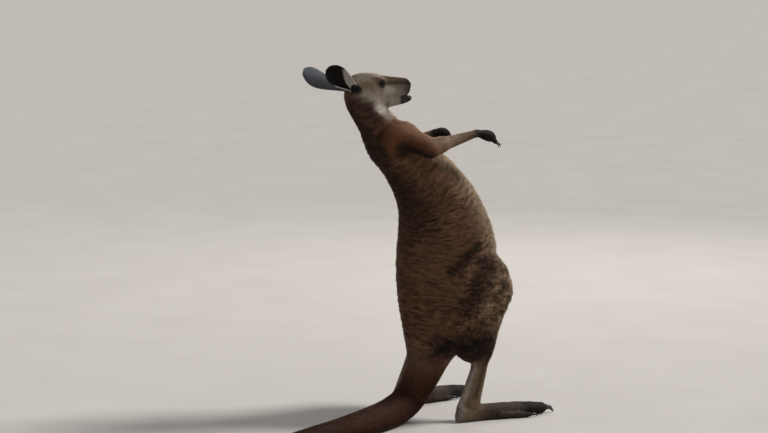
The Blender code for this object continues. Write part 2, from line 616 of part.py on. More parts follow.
for label, arm in ARMS.items():
    down = palm_axes(arm)[2] * -1
    for k, (root, end) in enumerate(fingers(arm)):
        ahead = unit(end - root)
        boolean(parts["hand_" + label], claw("claw", end, end + ahead * 0.0135 + down * 0.006, down, 0.0030), "UNION")
for label, leg in LEGS.items():
    for name, (root, knuckle, end, ra, rb, rc), long, gap in zip(("big", "outer", "inner"), TOES, (0.026, 0.017, 0.013),
                                                                 (0.0030, 0.0016, 0.0026)):
        ahead = unit(np.array(end) - knuckle)
        start = np.array(end) + ahead * (rc + gap) + [0, 0, 0.0015]
        finish = start + ahead * (long - 0.002) + [0, 0, 0.0010 - start[2] + 0.0012]
        claw(f"claw_{name}_{label}", from_foot(start, leg), from_foot(finish, leg), (0, 0, -1), rc * 0.48)

# ---------------------------------------------------------------- middle of the footprint on the origin
everything = [o for o in bpy.data.objects if o.type == "MESH"]
bpy.context.view_layer.update()
corner = np.array([(o.matrix_world @ v.co)[:] for o in everything for v in o.data.vertices])
shift = -(corner.min(0) + corner.max(0)) / 2
shift[2] = 0
for thing in everything:
    thing.data.transform(Matrix.Translation(Vector(shift)))
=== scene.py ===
"""A grown western grey kangaroo, standing: its skin, coat, eyes and claws, in metres.

+x is where it faces, +y its left, +z up.  The flesh is described by functions of position, the skin
is meshed on them below the depth of the coat, and the coat is tufts grown on the skin by one node tree."""
import json
import math

import bmesh
import bpy
import numpy as np
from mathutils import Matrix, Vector

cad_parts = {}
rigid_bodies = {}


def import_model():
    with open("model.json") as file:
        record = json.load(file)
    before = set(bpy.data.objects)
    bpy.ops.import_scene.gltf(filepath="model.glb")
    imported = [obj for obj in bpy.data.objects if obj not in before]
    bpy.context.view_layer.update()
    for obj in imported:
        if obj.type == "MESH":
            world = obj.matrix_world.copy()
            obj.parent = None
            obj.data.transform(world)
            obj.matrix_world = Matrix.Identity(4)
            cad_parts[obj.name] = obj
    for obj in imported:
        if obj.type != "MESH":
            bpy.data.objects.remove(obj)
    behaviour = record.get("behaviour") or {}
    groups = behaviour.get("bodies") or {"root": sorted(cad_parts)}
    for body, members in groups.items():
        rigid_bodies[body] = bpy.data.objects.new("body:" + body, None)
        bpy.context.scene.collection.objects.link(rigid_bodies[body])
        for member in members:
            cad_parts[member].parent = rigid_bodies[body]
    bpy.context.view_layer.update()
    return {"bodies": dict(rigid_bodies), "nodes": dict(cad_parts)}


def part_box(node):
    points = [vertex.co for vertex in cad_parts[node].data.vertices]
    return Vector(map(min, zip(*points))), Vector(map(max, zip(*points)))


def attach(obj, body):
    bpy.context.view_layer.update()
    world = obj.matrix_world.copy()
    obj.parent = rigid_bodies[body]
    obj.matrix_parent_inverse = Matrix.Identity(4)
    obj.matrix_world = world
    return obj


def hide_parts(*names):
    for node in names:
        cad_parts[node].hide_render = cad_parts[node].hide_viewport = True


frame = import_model()
OUT_OF_REACH = 0.12  # distance given where a part's box ends

# --- trunk and neck: height, centre x, half depth, half width
TRUNK = [
    (0.19, -0.04, 0.055, 0.055), (0.235, -0.03, 0.093, 0.085), (0.285, -0.022, 0.118, 0.108),
    (0.34, -0.018, 0.134, 0.126), (0.42, -0.011, 0.148, 0.138), (0.5, -0.004, 0.155, 0.14),
    (0.56, -0.006, 0.148, 0.135), (0.62, -0.017, 0.136, 0.126), (0.68, -0.041, 0.129, 0.115),
    (0.74, -0.081, 0.123, 0.103), (0.79, -0.128, 0.119, 0.092), (0.83, -0.164, 0.103, 0.083),
    (0.87, -0.197, 0.086, 0.073), (0.905, -0.232, 0.072, 0.061), (0.94, -0.261, 0.063, 0.052),
    (0.975, -0.275, 0.059, 0.047), (1.0, -0.284, 0.048, 0.043),
]
# --- tail: x, y, z, radius
TAIL = [
    (-0.03, 0.0, 0.3, 0.09), (-0.048, 0.0, 0.235, 0.08), (-0.068, 0.0, 0.17, 0.063),
    (-0.098, -0.006, 0.108, 0.054), (-0.15, -0.032, 0.059, 0.05), (-0.225, -0.088, 0.043, 0.046),
    (-0.32, -0.152, 0.0385, 0.0415), (-0.425, -0.208, 0.0345, 0.0375), (-0.535, -0.252, 0.0295, 0.0325),
    (-0.64, -0.282, 0.0225, 0.0255), (-0.725, -0.3, 0.014, 0.0165),
]
# --- head, in its own frame: x to the nose from between the eyes
HEAD_AT = np.array([-0.222, 0.0, 1.013])
HEAD_TURN = math.radians(-12)
UPPER_HEAD = [  # x, top, bottom, half width
    (-0.103, 0.002, -0.026, 0.018), (-0.092, 0.016, -0.044, 0.034), (-0.07, 0.028, -0.056, 0.043),
    (-0.045, 0.0335, -0.064, 0.047), (-0.02, 0.032, -0.067, 0.047), (0.005, 0.026, -0.063, 0.042),
    (0.028, 0.0205, -0.055, 0.034), (0.05, 0.0185, -0.048, 0.028), (0.07, 0.0172, -0.0415, 0.0245),
    (0.084, 0.015, -0.0365, 0.0215), (0.094, 0.007, -0.028, 0.0145),
]
LOWER_JAW = [
    (-0.035, -0.03, -0.073, 0.034), (0.0, -0.03, -0.0745, 0.032), (0.03, -0.033, -0.071, 0.0265),
    (0.056, -0.0345, -0.0665, 0.0215), (0.078, -0.0355, -0.061, 0.017), (0.091, -0.0375, -0.0545, 0.012),
    (0.1, -0.0412, -0.0495, 0.0062),
]
EYE_AT, EYE_RADIUS = (0.0008, 0.028, -0.0008), 0.0132
EARS = {
    "right": dict(root=(-0.085, -0.034, -0.008), along=(-0.733, -0.548, 0.403), face=(0.359, -0.811, -0.451)),
    "left": dict(root=(-0.079, 0.034, -0.013), along=(-0.927, 0.2, 0.319), face=(0.046, 0.872, -0.427)),
}
EAR = [  # along, half width round the curl, radius of the curl
    (0.0, 0.0215, 0.0125), (0.021, 0.025, 0.0145), (0.048, 0.032, 0.019), (0.074, 0.0372, 0.0245),
    (0.096, 0.0382, 0.031), (0.115, 0.0352, 0.038), (0.132, 0.0272, 0.045), (0.144, 0.0165, 0.05),
    (0.1505, 0.0065, 0.054),
]
# --- limbs
ARMS = {
    "right": dict(side=-1, shoulder=(-0.18, -0.072, 0.85), elbow=(-0.114, -0.128, 0.828),
                  wrist=(0.045, -0.11, 0.865), palm=(0.085, -0.105, 0.855), point=(0.92, 0.05, -0.39)),
    "left": dict(side=1, shoulder=(-0.184, 0.072, 0.846), elbow=(-0.118, 0.13, 0.806),
                 wrist=(-0.004, 0.092, 0.85), palm=(0.024, 0.084, 0.848), point=(0.84, -0.15, -0.52)),
}
LEGS = {
    "right": dict(side=-1, hip=(-0.02, -0.08, 0.385), knee=(0.097, -0.118, 0.392),
                  ankle=(0.02, -0.103, 0.052), heel=(0.0, -0.106), turn=math.radians(-4)),
    "left": dict(side=1, hip=(-0.03, 0.08, 0.385), knee=(0.07, 0.138, 0.378),
                 ankle=(-0.082, 0.15, 0.052), heel=(-0.102, 0.148), turn=math.radians(18)),
}
FOOT = [  # x, centre height, half height, half width
    (-0.022, 0.015, 0.01, 0.01), (-0.012, 0.0175, 0.02, 0.0165), (0.01, 0.0228, 0.0265, 0.02),
    (0.05, 0.0242, 0.028, 0.0205), (0.1, 0.023, 0.0266, 0.022), (0.15, 0.0225, 0.026, 0.0238),
    (0.19, 0.0208, 0.0238, 0.022), (0.225, 0.019, 0.0215, 0.0155),
]
TOES = [  # root, knuckle, end, their radii: the big fourth toe, the fifth, the joined second and third
    ((0.15, 0.002, 0.023), (0.232, 0.002, 0.0208), (0.2736, 0.002, 0.0184), 0.0225, 0.0208, 0.0175),
    ((0.12, 0.014, 0.015), (0.185, 0.027, 0.011), (0.218, 0.032, 0.0085), 0.013, 0.0105, 0.0085),
    ((0.13, -0.014, 0.015), (0.185, -0.02, 0.01), (0.207, -0.023, 0.008), 0.0105, 0.0078, 0.0062),
]
FOLDS = [  # start, end, breadth, depth: flank, behind the knee, armpit
    ((0.13, 0.105, 0.49), (0.005, 0.165, 0.415), 0.02, 0.008),
    ((0.112, 0.18, 0.42), (0.06, 0.18, 0.32), 0.026, 0.008),
    ((-0.215, 0.092, 0.815), (-0.11, 0.098, 0.795), 0.016, 0.006),
]


# ---- shape functions
def unit(v):
    v = np.asarray(v, float)
    return v / np.linalg.norm(v)


def smooth_line(stations, steps=6):
    """Rows of numbers joined by a smooth curve, with steps pieces between each two."""
    s = np.asarray(stations, float)
    s = np.vstack([2 * s[0] - s[1], s, 2 * s[-1] - s[-2]])
    t = np.linspace(0, 1, steps, endpoint=False)[:, None]
    rows = [0.5 * (2 * b + (c - a) * t + (2 * a - 5 * b + 4 * c - d) * t**2 + (3 * b - a - 3 * c + d) * t**3)
            for a, b, c, d in zip(s[:-3], s[1:-2], s[2:-1], s[3:])]
    return np.vstack(rows + [s[-2:-1]])


def rod(p, a, b, ra, rb):
    """Distance to a round rod whose radius runs from ra to rb."""
    a, b = np.asarray(a, float), np.asarray(b, float)
    ab = b - a
    t = np.clip((p - a) @ ab / (ab @ ab), 0, 1)
    return np.linalg.norm(p - a - t[:, None] * ab, axis=1) - ra - t * (rb - ra)


def tube(p, stations):
    rows = smooth_line(stations)
    return np.min([rod(p, a[:3], b[:3], a[3], b[3]) for a, b in zip(rows[:-1], rows[1:])], axis=0)


def ball(p, centre, radii, turn=None):
    q = p - np.asarray(centre, float)
    q = (q if turn is None else q @ turn.T) / np.asarray(radii, float)
    near_one = np.linalg.norm(q, axis=1)
    return near_one * (near_one - 1) / np.maximum(np.linalg.norm(q / np.asarray(radii, float), axis=1), 1e-9)


def loft(u, v, w, stations, power, end):
    """Ovals across u: each station is u, the oval's middle in v, and its half sizes in v and w."""
    rows = smooth_line(stations)
    middle, a, b = (np.interp(u, rows[:, 0], rows[:, k]) for k in (1, 2, 3))
    k = ((np.abs(v - middle) / a) ** power + (np.abs(w) / b) ** power) ** (1 / power)
    beyond = np.abs(u - (rows[0, 0] + rows[-1, 0]) / 2) - (rows[-1, 0] - rows[0, 0]) / 2
    return cut((k - 1) * np.sqrt(a * b) * 0.93, -beyond, end)


def join(a, b, soft):
    h = np.clip(0.5 + 0.5 * (b - a) / soft, 0, 1)
    return b + (a - b) * h - soft * h * (1 - h)


def cut(a, b, soft):
    return -join(-a, b, soft)


def with_rods(p, d, *rods):
    """Joins rods to distance d: each is start, end, their radii, and how softly it joins."""
    for a, b, ra, rb, soft in rods:
        d = join(d, rod(p, a, b, ra, rb), soft)
    return d


def axes(along, up=(0, 0, 1)):
    """Rows: along, across, and out of the two."""
    x = unit(along)
    y = unit(np.cross(up, x))
    return np.array([x, y, np.cross(x, y)])


def near(p, low, high, make):
    """make(points) inside a box, out of reach elsewhere."""
    inside = ((p > low) & (p < high)).all(1)
    d = np.full(len(p), OUT_OF_REACH)
    if inside.any():
        d[inside] = make(p[inside])
    return d


# ---- the animal
HEAD_AXES = np.array([[math.cos(HEAD_TURN), math.sin(HEAD_TURN), 0],
                      [-math.sin(HEAD_TURN), math.cos(HEAD_TURN), 0], [0, 0, 1.0]])


def from_head(q, side=1):
    """A place in the head's frame, or with side -1 its twin on the right, in the body's."""
    return np.asarray(q, float) * [1, side, 1] @ HEAD_AXES + HEAD_AT


def folded(p):
    """Points moved on to their left twins."""
    return np.stack([p[:, 0], np.abs(p[:, 1]), p[:, 2]], 1)


def in_head(p):
    """Points in the head's frame, folded on to its left."""
    return folded((p - HEAD_AT) @ HEAD_AXES.T)


def head(p):
    q = in_head(p)
    skull, jaw = ([(x, (top + low) / 2, (top - low) / 2, wide) for x, top, low, wide in rows]
                  for rows in (UPPER_HEAD, LOWER_JAW))
    d = loft(q[:, 0], q[:, 2], q[:, 1], skull, 2.15, 0.014)
    d = join(d, ball(q, (-0.026, 0.031, -0.028), (0.034, 0.015, 0.026)), 0.012)  # cheek
    d = join(d, ball(q, (-0.009, 0.03, 0.0165), (0.019, 0.009, 0.0065)), 0.008)  # brow
    d = join(d, ball(q, (-0.082, 0.028, -0.005), (0.023, 0.017, 0.022)), 0.012)  # root of the ear
    return join(d, loft(q[:, 0], q[:, 2], q[:, 1], jaw, 2.1, 0.01), 0.004)


def palm_axes(arm):
    return axes(arm["point"], (0.35, 0.25 * arm["side"], 1.0))


def fingers(arm):
    """Root and end of each of the five fingers."""
    turn = palm_axes(arm)
    for spread, long in ((-1.5, 0.017), (-0.75, 0.026), (0, 0.029), (0.75, 0.026), (1.4, 0.018)):
        root = turn.T @ np.array([0.01 - 0.002 * abs(spread), spread * 0.0085, -0.002])
        yield root + arm["palm"], root + arm["palm"] + turn.T @ np.array([long, spread * 0.0035, -0.006])


def arm_form(p, arm):
    shoulder, elbow, wrist, palm = (np.array(arm[n]) for n in ("shoulder", "elbow", "wrist", "palm"))
    muscle = elbow + (wrist - elbow) * 0.22
    d = ball(p, shoulder * [1, 0.84, 1] + [0.0, 0, -0.004], (0.064, 0.044, 0.062))
    d = with_rods(p, d, (shoulder + [0.014, 0, 0.004], elbow, 0.042, 0.03, 0.02),
                  (elbow, muscle, 0.0265, 0.0235, 0.012), (muscle, wrist, 0.0225, 0.0118, 0.012),
                  (wrist, palm, 0.0118, 0.0145, 0.008))
    d = join(d, ball(p, palm, (0.024, 0.0185, 0.015), palm_axes(arm)), 0.008)
    return with_rods(p, d, *((root, end, 0.0074, 0.006, 0.004) for root, end in fingers(arm)))


def from_foot(q, leg):
    c, s = math.cos(leg["turn"]), math.sin(leg["turn"])
    x, y = leg["heel"]
    return np.array([x + q[0] * c - q[1] * s, y + leg["side"] * (q[0] * s + q[1] * c), q[2]])


def foot(p, leg):
    c, s = math.cos(leg["turn"]), math.sin(leg["turn"])
    x, y = p[:, 0] - leg["heel"][0], (p[:, 1] - leg["heel"][1]) * leg["side"]
    q = np.stack([x * c + y * s, y * c - x * s, p[:, 2]], 1)
    d = loft(q[:, 0], q[:, 2], q[:, 1], FOOT, 2.3, 0.012)
    for root, knuckle, end, ra, rb, rc in TOES:
        d = join(d, join(rod(q, root, knuckle, ra, rb), rod(q, knuckle, end, rb, rc), 0.003), 0.005)
    return d


def shin_top(leg):
    return np.array(leg["ankle"]) + [0.052, 0, 0.15]


def leg_form(p, leg):
    hip, knee, ankle = (np.array(leg[n]) for n in ("hip", "knee", "ankle"))
    side, shin = leg["side"], shin_top(leg)
    d = ball(p, hip * 0.52 + knee * 0.48 + [-0.004, -side * 0.02, -0.016], (0.125, 0.072, 0.142))
    d = join(d, rod(p, hip + [0.03, side * 0.006, 0.035], knee + [0.0, 0, 0.006], 0.082, 0.056), 0.04)
    d = join(d, ball(p, knee + [-0.01, -side * 0.012, 0.06], (0.058, 0.05, 0.062)), 0.03)
    d = join(d, ball(p, hip * 0.4 + knee * 0.6 + [-0.012, -side * 0.006, -0.136], (0.07, 0.05, 0.076)),
             0.035)
    d = with_rods(p, d, (knee, shin, 0.048, 0.0235, 0.03),
                  (shin, ankle + [0.02, 0, 0.006], 0.0215, 0.022, 0.012),
                  (shin + [-0.006, 0, 0], ankle + [-0.022, 0, -0.008], 0.016, 0.0125, 0.014))
    return join(d, foot(p, leg), 0.014)


def body(p):
    """Signed distance to the coat's outside, ears and claws left out."""
    d = near(p, (-0.42, -0.21, 0.11), (0.23, 0.21, 1.08),
             lambda q: loft(q[:, 2], q[:, 0], q[:, 1], TRUNK, 2.0, 0.03))
    d = join(d, near(p, (-0.81, -0.39, -0.06), (0.12, 0.15, 0.45), lambda q: tube(q, TAIL)), 0.035)
    d = join(d, near(p, (-0.38, -0.14, 0.88), (-0.07, 0.11, 1.1), head), 0.016)
    for arm in ARMS.values():
        reach = np.array([arm[n] for n in ("shoulder", "elbow", "wrist", "palm")])
        d = join(d, near(p, reach.min(0) - 0.11, reach.max(0) + 0.11, lambda q: arm_form(q, arm)), 0.02)
    for leg in LEGS.values():
        low, high = np.sort([leg["side"] * -0.01, leg["side"] * 0.28])
        d = join(d, near(p, (-0.26, low, -0.04), (0.38, high, 0.62), lambda q: leg_form(q, leg)), 0.024)
    q = folded(p)
    for a, b, breadth, depth in FOLDS:
        d = d + depth * np.exp(-(rod(q, a, b, 0, 0) / breadth) ** 2)
    return d


# ---- skin under the coat
DEEPEST = 0.0062  # depth of the coat on the trunk
THINNER = [  # rod, how far it reaches, depth of the coat there
    ((from_head((-0.02, 0, -0.02)), from_head((-0.06, 0, -0.02)), 0.03, 0.03), 0.045, 0.003),
    ((from_head((0.026, 0, -0.025)), from_head((0.092, 0, -0.025)), 0.034, 0.022), 0.03, 0.0014),
    ((TAIL[5][:3], TAIL[7][:3], 0.04, 0.04), 0.14, 0.0045),
    ((TAIL[8][:3], TAIL[10][:3], 0.03, 0.02), 0.12, 0.0032),
]
for limb in ARMS.values():
    THINNER += [((limb["elbow"], limb["wrist"], 0.03, 0.02), 0.04, 0.0034),
                ((limb["palm"], np.array(limb["palm"]) + 0.01, 0.02, 0.02), 0.03, 0.0012)]
for limb in LEGS.values():
    THINNER += [((shin_top(limb) - [0, 0, 0.02], limb["ankle"], 0.03, 0.03), 0.06, 0.0034),
                ((from_foot((0, 0, 0.02), limb), from_foot((0.14, 0, 0.02), limb), 0.024, 0.022),
                 0.03, 0.0022),
                ((from_foot((0.2, 0, 0.02), limb), from_foot((0.29, 0, 0.02), limb), 0.03, 0.02),
                 0.03, 0.0014)]

MOUTH = np.array([(0.094, 0.0, -0.035), (0.089, 0.0095, -0.0362), (0.078, 0.0175, -0.0385),
                  (0.06, 0.0235, -0.042), (0.043, 0.028, -0.0465)])
EYE_GAZE = unit((0.3, 1.0, 0.1))  # the left eye's axes, in the head's frame
EYE_LONG = unit(np.cross(EYE_GAZE, (0, 0, 1)))  # towards the nose
EYE_UP = np.cross(EYE_LONG, EYE_GAZE)
OPENING = (0.86, 0.66, 0.3)  # half angles of the lids' opening along and across, tilt


def coat_depth(p):
    depth = np.full(len(p), DEEPEST)
    for shape, reach, here in THINNER:
        far = np.clip(rod(p, *shape) / reach, 0, 1)
        depth = np.minimum(depth, here + (DEEPEST - here) * far * far * (3 - 2 * far))
    return depth


def groove(q, line, breadth, depth):
    far = np.min([rod(q, a, b, 0, 0) for a, b in zip(line[:-1], line[1:])], axis=0)
    return depth * np.exp(-(far / breadth) ** 2)


def almond(turn):
    """Angles along and across of the edge of the lids' opening; turn 0 is the corner by the nose."""
    a, b = OPENING[0] * math.cos(turn), OPENING[1] * math.sin(turn) * (1 - 0.35 * abs(math.cos(turn)) ** 3)
    c, s = math.cos(OPENING[2]), math.sin(OPENING[2])
    return a * c - b * s, a * s + b * c


def outside_almond(eye):
    """How far a point, taken from the eye's middle, is outside the opening between the lids."""
    ahead = np.maximum(eye @ EYE_GAZE, 1e-4)
    a, b = np.arctan2(eye @ EYE_LONG, ahead), np.arctan2(eye @ EYE_UP, ahead)
    c, s = math.cos(OPENING[2]), math.sin(OPENING[2])
    a, b = a * c + b * s, np.abs(b * c - a * s)
    share = np.abs(a) / OPENING[0]
    edge = OPENING[1] * np.sqrt(np.clip(1 - share**2, 0, 1)) * (1 - 0.35 * np.minimum(share, 1) ** 3)
    return EYE_RADIUS * np.where(share < 1, b - edge, np.hypot(np.abs(a) - OPENING[0], b))


def face(q, d):
    """Lids, nostrils, lips and folds worked into distance d, for points q from in_head."""
    eye = q - EYE_AT
    out = np.linalg.norm(eye, axis=1)
    d = join(d, out - EYE_RADIUS - 0.0016, 0.005)
    d = cut(d, np.maximum(outside_almond(eye), EYE_RADIUS - 0.0012 - out), 0.0005)
    d = d - groove(eye, [(-0.013, 0.014, 0.015), (0.011, 0.012, 0.0145)], 0.0035, 0.0012)  # brow
    d = d + groove(q, [(0.0175, 0.036, -0.0055), (0.034, 0.0325, -0.0125)], 0.0045, 0.0016)  # tear line
    d = d + groove(eye, [(-0.013, 0.014, -0.0155), (0.003, 0.015, -0.019), (0.017, 0.011, -0.0155)],
                   0.0022, 0.001)
    d = d + groove(q, MOUTH, 0.0015, 0.003)
    d = d - groove(q, MOUTH[:4] + (0.001, 0.001, -0.0045), 0.0035, 0.001)  # lower lip
    d = d + groove(q, [(0.0955, 0, -0.016), (0.093, 0, -0.031)], 0.0012, 0.0016)  # split of the lip
    d = join(d, ball(q, (0.0865, 0.0095, -0.006), (0.0085, 0.008, 0.008)), 0.004)  # wing of the nose
    d = d + groove(q, [(0.095, 0.0055, -0.01), (0.0915, 0.0125, -0.0045), (0.0855, 0.017, -0.0045)],
                   0.0019, 0.005)
    for k in range(3):  # corner of the mouth
        d = d + groove(q, [(0.047 - 0.007 * k, 0.0275 + 0.002 * k, -0.038 - 0.001 * k),
                           (0.04 - 0.007 * k, 0.03 + 0.002 * k, -0.052)], 0.002, 0.0007)
    return d


def skin_form(p):
    """Signed distance to the skin."""
    d = body(p) + coat_depth(p)
    inside = ((p > HEAD_AT - 0.135) & (p < HEAD_AT + 0.135)).all(1)
    if inside.any():
        d[inside] = face(in_head(p[inside]), d[inside])
    return d


def slope(form, p, step=0.0005):
    corners = np.array([(1, 1, 1), (1, -1, -1), (-1, 1, -1), (-1, -1, 1)]) * step
    return sum(form(p + corner)[:, None] * corner for corner in corners) / (4 * step**2)


def onto(form, p, rounds=2, reach=0.0025):
    """Moves points on to form(points) = 0."""
    for _ in range(rounds):
        way = slope(form, p)
        size = np.maximum((way**2).sum(1, keepdims=True), 0.25)
        p = p - np.clip(form(p)[:, None] * way / size, -reach, reach)
    return p


# ---- meshing
def surface(form, low, high, cell, block=8):
    """Surface-net mesh of form(points) = 0, worked out only in blocks near it."""
    low, high = np.asarray(low, float), np.asarray(high, float)
    n = np.ceil((high - low) / (cell * block)).astype(int)
    blocks = np.stack(np.meshgrid(*(np.arange(k) for k in n), indexing="ij"), -1).reshape(-1, 3)
    value = form(low + (blocks + 0.5) * cell * block)
    grid = np.pad(np.kron(value.reshape(n), np.ones((block,) * 3)), ((0, 1),) * 3, mode="edge")
    close = blocks[np.abs(value) < 1.6 * cell * block + 0.004]
    step = np.stack(np.meshgrid(*[np.arange(block + 1)] * 3, indexing="ij"), -1).reshape(-1, 3)
    flat = np.unique(np.ravel_multi_index((close[:, None] * block + step).reshape(-1, 3).T, grid.shape))
    where = np.stack(np.unravel_index(flat, grid.shape), 1)
    for s in range(0, len(flat), 300000):
        grid.reshape(-1)[flat[s:s + 300000]] = form(low + where[s:s + 300000] * cell)
    return nets(grid, low, cell)


def untangled(value):
    """Fills the grid corners where two sheets of the surface would meet along an edge or at a point."""
    ends = [slice(0, -1), slice(1, None)]
    for _ in range(20):
        inside, fill = value < 0, np.zeros(value.shape, bool)
        for axis in range(3):
            u, w = (k for k in range(3) if k != axis)
            part = {}
            for i in (0, 1):
                for j in (0, 1):
                    index = [slice(None)] * 3
                    index[u], index[w] = ends[i], ends[j]
                    part[i, j] = tuple(index)
            a, b, c, d = (inside[part[k]] for k in ((0, 0), (1, 1), (0, 1), (1, 0)))
            crossed = (a == b) & (c == d) & (a != c)
            for k in part:
                fill[part[k]] |= crossed & ~inside[part[k]]
        if not fill.any():
            break
        value = np.where(fill, -1e-5, value)
    return value


def nets(value, low, cell):
    value = untangled(value)
    inside = value < 0
    ends = [slice(0, -1), slice(1, None)]
    corners = [(i, j, k) for i in (0, 1) for j in (0, 1) for k in (0, 1)]
    count = sum(inside[ends[i], ends[j], ends[k]].astype(int) for i, j, k in corners)
    cells = np.argwhere((count > 0) & (count < 8))
    number = np.full(count.shape, -1)
    number[tuple(cells.T)] = np.arange(len(cells))
    total, hits = np.zeros((len(cells), 3)), np.zeros(len(cells))
    for corner in corners:
        for axis in (k for k in range(3) if not corner[k]):
            other = np.array(corner) + np.eye(3, dtype=int)[axis]
            a, b = value[tuple((cells + corner).T)], value[tuple((cells + other).T)]
            hit = (a < 0) != (b < 0)
            t = np.where(hit, a / np.where(hit, a - b, 1), 0)
            total += (corner + t[:, None] * (other - corner)) * hit[:, None]
            hits += hit
    points = low + (cells + total / hits[:, None]) * cell
    quads = []
    for axis in range(3):
        u, w = np.eye(3, dtype=int)[(axis + 1) % 3], np.eye(3, dtype=int)[(axis + 2) % 3]
        here, there = [slice(1, -1)] * 3, [slice(1, -1)] * 3
        here[axis], there[axis] = ends
        a, b = inside[tuple(here)], inside[tuple(there)]
        edge = np.argwhere(a != b)
        flip = a[tuple(edge.T)]
        at = edge + u + w
        quad = np.stack([number[tuple(q.T)] for q in (at - u - w, at - w, at, at - u)], 1)
        quads.append(np.where(flip[:, None], quad, quad[:, ::-1]))
    return points, np.concatenate(quads)


def mesh_object(name, points, faces, material=None):
    mesh = bpy.data.meshes.new(name)
    mesh.from_pydata(np.asarray(points).tolist(), [], [list(map(int, f)) for f in faces])
    mesh.validate()
    mesh.polygons.foreach_set("use_smooth", np.ones(len(mesh.polygons), bool))
    thing = bpy.data.objects.new(name, mesh)
    bpy.context.collection.objects.link(thing)
    if material:
        mesh.materials.append(material)
    return thing


def refined(points, faces, chosen):
    """Halves the edges of the faces whose corners are all chosen(points)."""
    mesh = bpy.data.meshes.new("work")
    mesh.from_pydata(points.tolist(), [], faces)
    work = bmesh.new()
    work.from_mesh(mesh)
    bpy.data.meshes.remove(mesh)
    picked = chosen(points)
    work.faces.ensure_lookup_table()
    edges = {e for f in work.faces if all(picked[v.index] for v in f.verts) for e in f.edges}
    bmesh.ops.subdivide_edges(work, edges=list(edges), cuts=1, use_grid_fill=True)
    work.verts.index_update()
    points = np.array([v.co[:] for v in work.verts])
    faces = [[v.index for v in f.verts] for f in work.faces]
    work.free()
    return points, faces


# ---- how the coat grows
# kind of coat: its piece, tufts' length and breadth in mm, number per square cm, and how far tips stand off
KINDS = {
    "muzzle": ("head", 5.0, 0.8, 95, 1.3), "face": ("head", 8.0, 0.95, 75, 2.3),
    "neck": ("neck", 14.5, 1.6, 32, 4.6), "trunk": ("trunk", 16.5, 2.0, 21, 6.4),
    "thigh": ("thigh", 15.5, 1.9, 26, 6.4), "tail": ("tail", 14, 1.9, 29, 4.6),
    "tail_end": ("tail", 12, 1.7, 33, 3.4), "upper_arm": ("arms", 13, 1.6, 34, 4.6),
    "forearm": ("arms", 10, 1.35, 48, 3.4), "hand": ("hands", 5.5, 0.95, 75, 1.4),
    "shin": ("shins", 11, 1.45, 38, 3.4), "foot": ("feet", 7.5, 1.1, 52, 2.2),
    "toe": ("feet", 5.5, 1.0, 60, 1.3), "ear": ("ears", 6.0, 0.9, 80, 1.5),
}
PIECES = ["head", "ears", "neck", "arms", "hands", "trunk", "thigh", "tail", "shins", "feet", "waist", "hips"]


def growth():
    """Kind of coat, start and end of each length that it grows along, and the flesh's thickness there."""
    yield "muzzle", from_head((0.104, 0, -0.006)), from_head((0.05, 0, -0.01)), 0.02
    yield "face", from_head((0.05, 0, -0.01)), from_head((0.0, 0, -0.006)), 0.036
    yield "face", from_head((0.0, 0, -0.006)), from_head((-0.08, 0, -0.012)), 0.042
    yield "muzzle", from_head((0.104, 0, -0.046)), from_head((0.05, 0, -0.054)), 0.014
    yield "face", from_head((0.05, 0, -0.054)), from_head((-0.045, 0, -0.07)), 0.024
    rows = smooth_line(TRUNK[::-1], 2)
    for a, b in zip(rows[:-1], rows[1:]):
        yield "neck" if b[0] > 0.872 else "trunk", (a[1], 0, a[0]), (b[1], 0, b[0]), a[3] * 0.95
    for k, (a, b) in enumerate(zip(TAIL[1:-1], TAIL[2:])):
        yield "tail" if k < 6 else "tail_end", a[:3], b[:3], a[3]
    for arm in ARMS.values():
        shoulder, elbow, wrist, palm = (np.array(arm[n]) for n in ("shoulder", "elbow", "wrist", "palm"))
        yield "upper_arm", shoulder + [-0.02, 0, 0.01], elbow, 0.038
        yield "forearm", elbow, wrist, 0.02
        yield "hand", wrist, palm + palm_axes(arm)[0] * 0.025, 0.013
        for root, end in fingers(arm):
            yield "hand", root, end, 0.005
    for leg in LEGS.values():
        hip, knee, ankle = (np.array(leg[n]) for n in ("hip", "knee", "ankle"))
        out = np.array([0, leg["side"], 0])
        yield "thigh", hip + out * 0.05 + [0.075, 0, 0.11], knee + out * 0.01 + [0.012, 0, -0.06], 0.046
        low = hip * 0.5 + knee * 0.5 + out * 0.01 + [-0.045, 0, -0.17]
        yield "thigh", hip + out * 0.035 + [-0.01, 0, 0.11], low, 0.07
        yield "shin", knee + [-0.004, 0, -0.1], shin_top(leg), 0.03
        yield "shin", shin_top(leg), ankle, 0.021
        yield "foot", from_foot((-0.02, 0, 0.02), leg), from_foot((0.19, 0, 0.016), leg), 0.021
        for root, knuckle, end, _, _, rc in TOES:
            start = np.array(root) + (np.array(knuckle) - root) * 0.6
            yield "toe", from_foot(start, leg), from_foot(end, leg), rc


GROWTH = list(growth())


def coat_at(p):
    """For points on the skin: the lie of the coat, its phase along the lie, and each kind's share."""
    lie, phase, shares = np.zeros((len(p), 3)), np.zeros(len(p)), {k: np.zeros(len(p)) for k in KINDS}
    total, run, last = np.zeros(len(p)), 0.0, None
    for kind, a, b, thick in GROWTH:
        a, b = np.asarray(a, float), np.asarray(b, float)
        run = run if last is not None and np.allclose(a, last) else 0.0
        along = np.clip((p - a) @ (b - a) / ((b - a) @ (b - a)), 0, 1)
        weight = (np.maximum(rod(p, a, b, thick, thick), 0) + 0.007) ** -3.0
        lie += weight[:, None] * unit(b - a)
        phase += weight * (run + along * np.linalg.norm(b - a))
        shares[kind] += weight
        total += weight
        run, last = run + np.linalg.norm(b - a), b
    return lie / total[:, None], phase / total, {k: v / total for k, v in shares.items()}


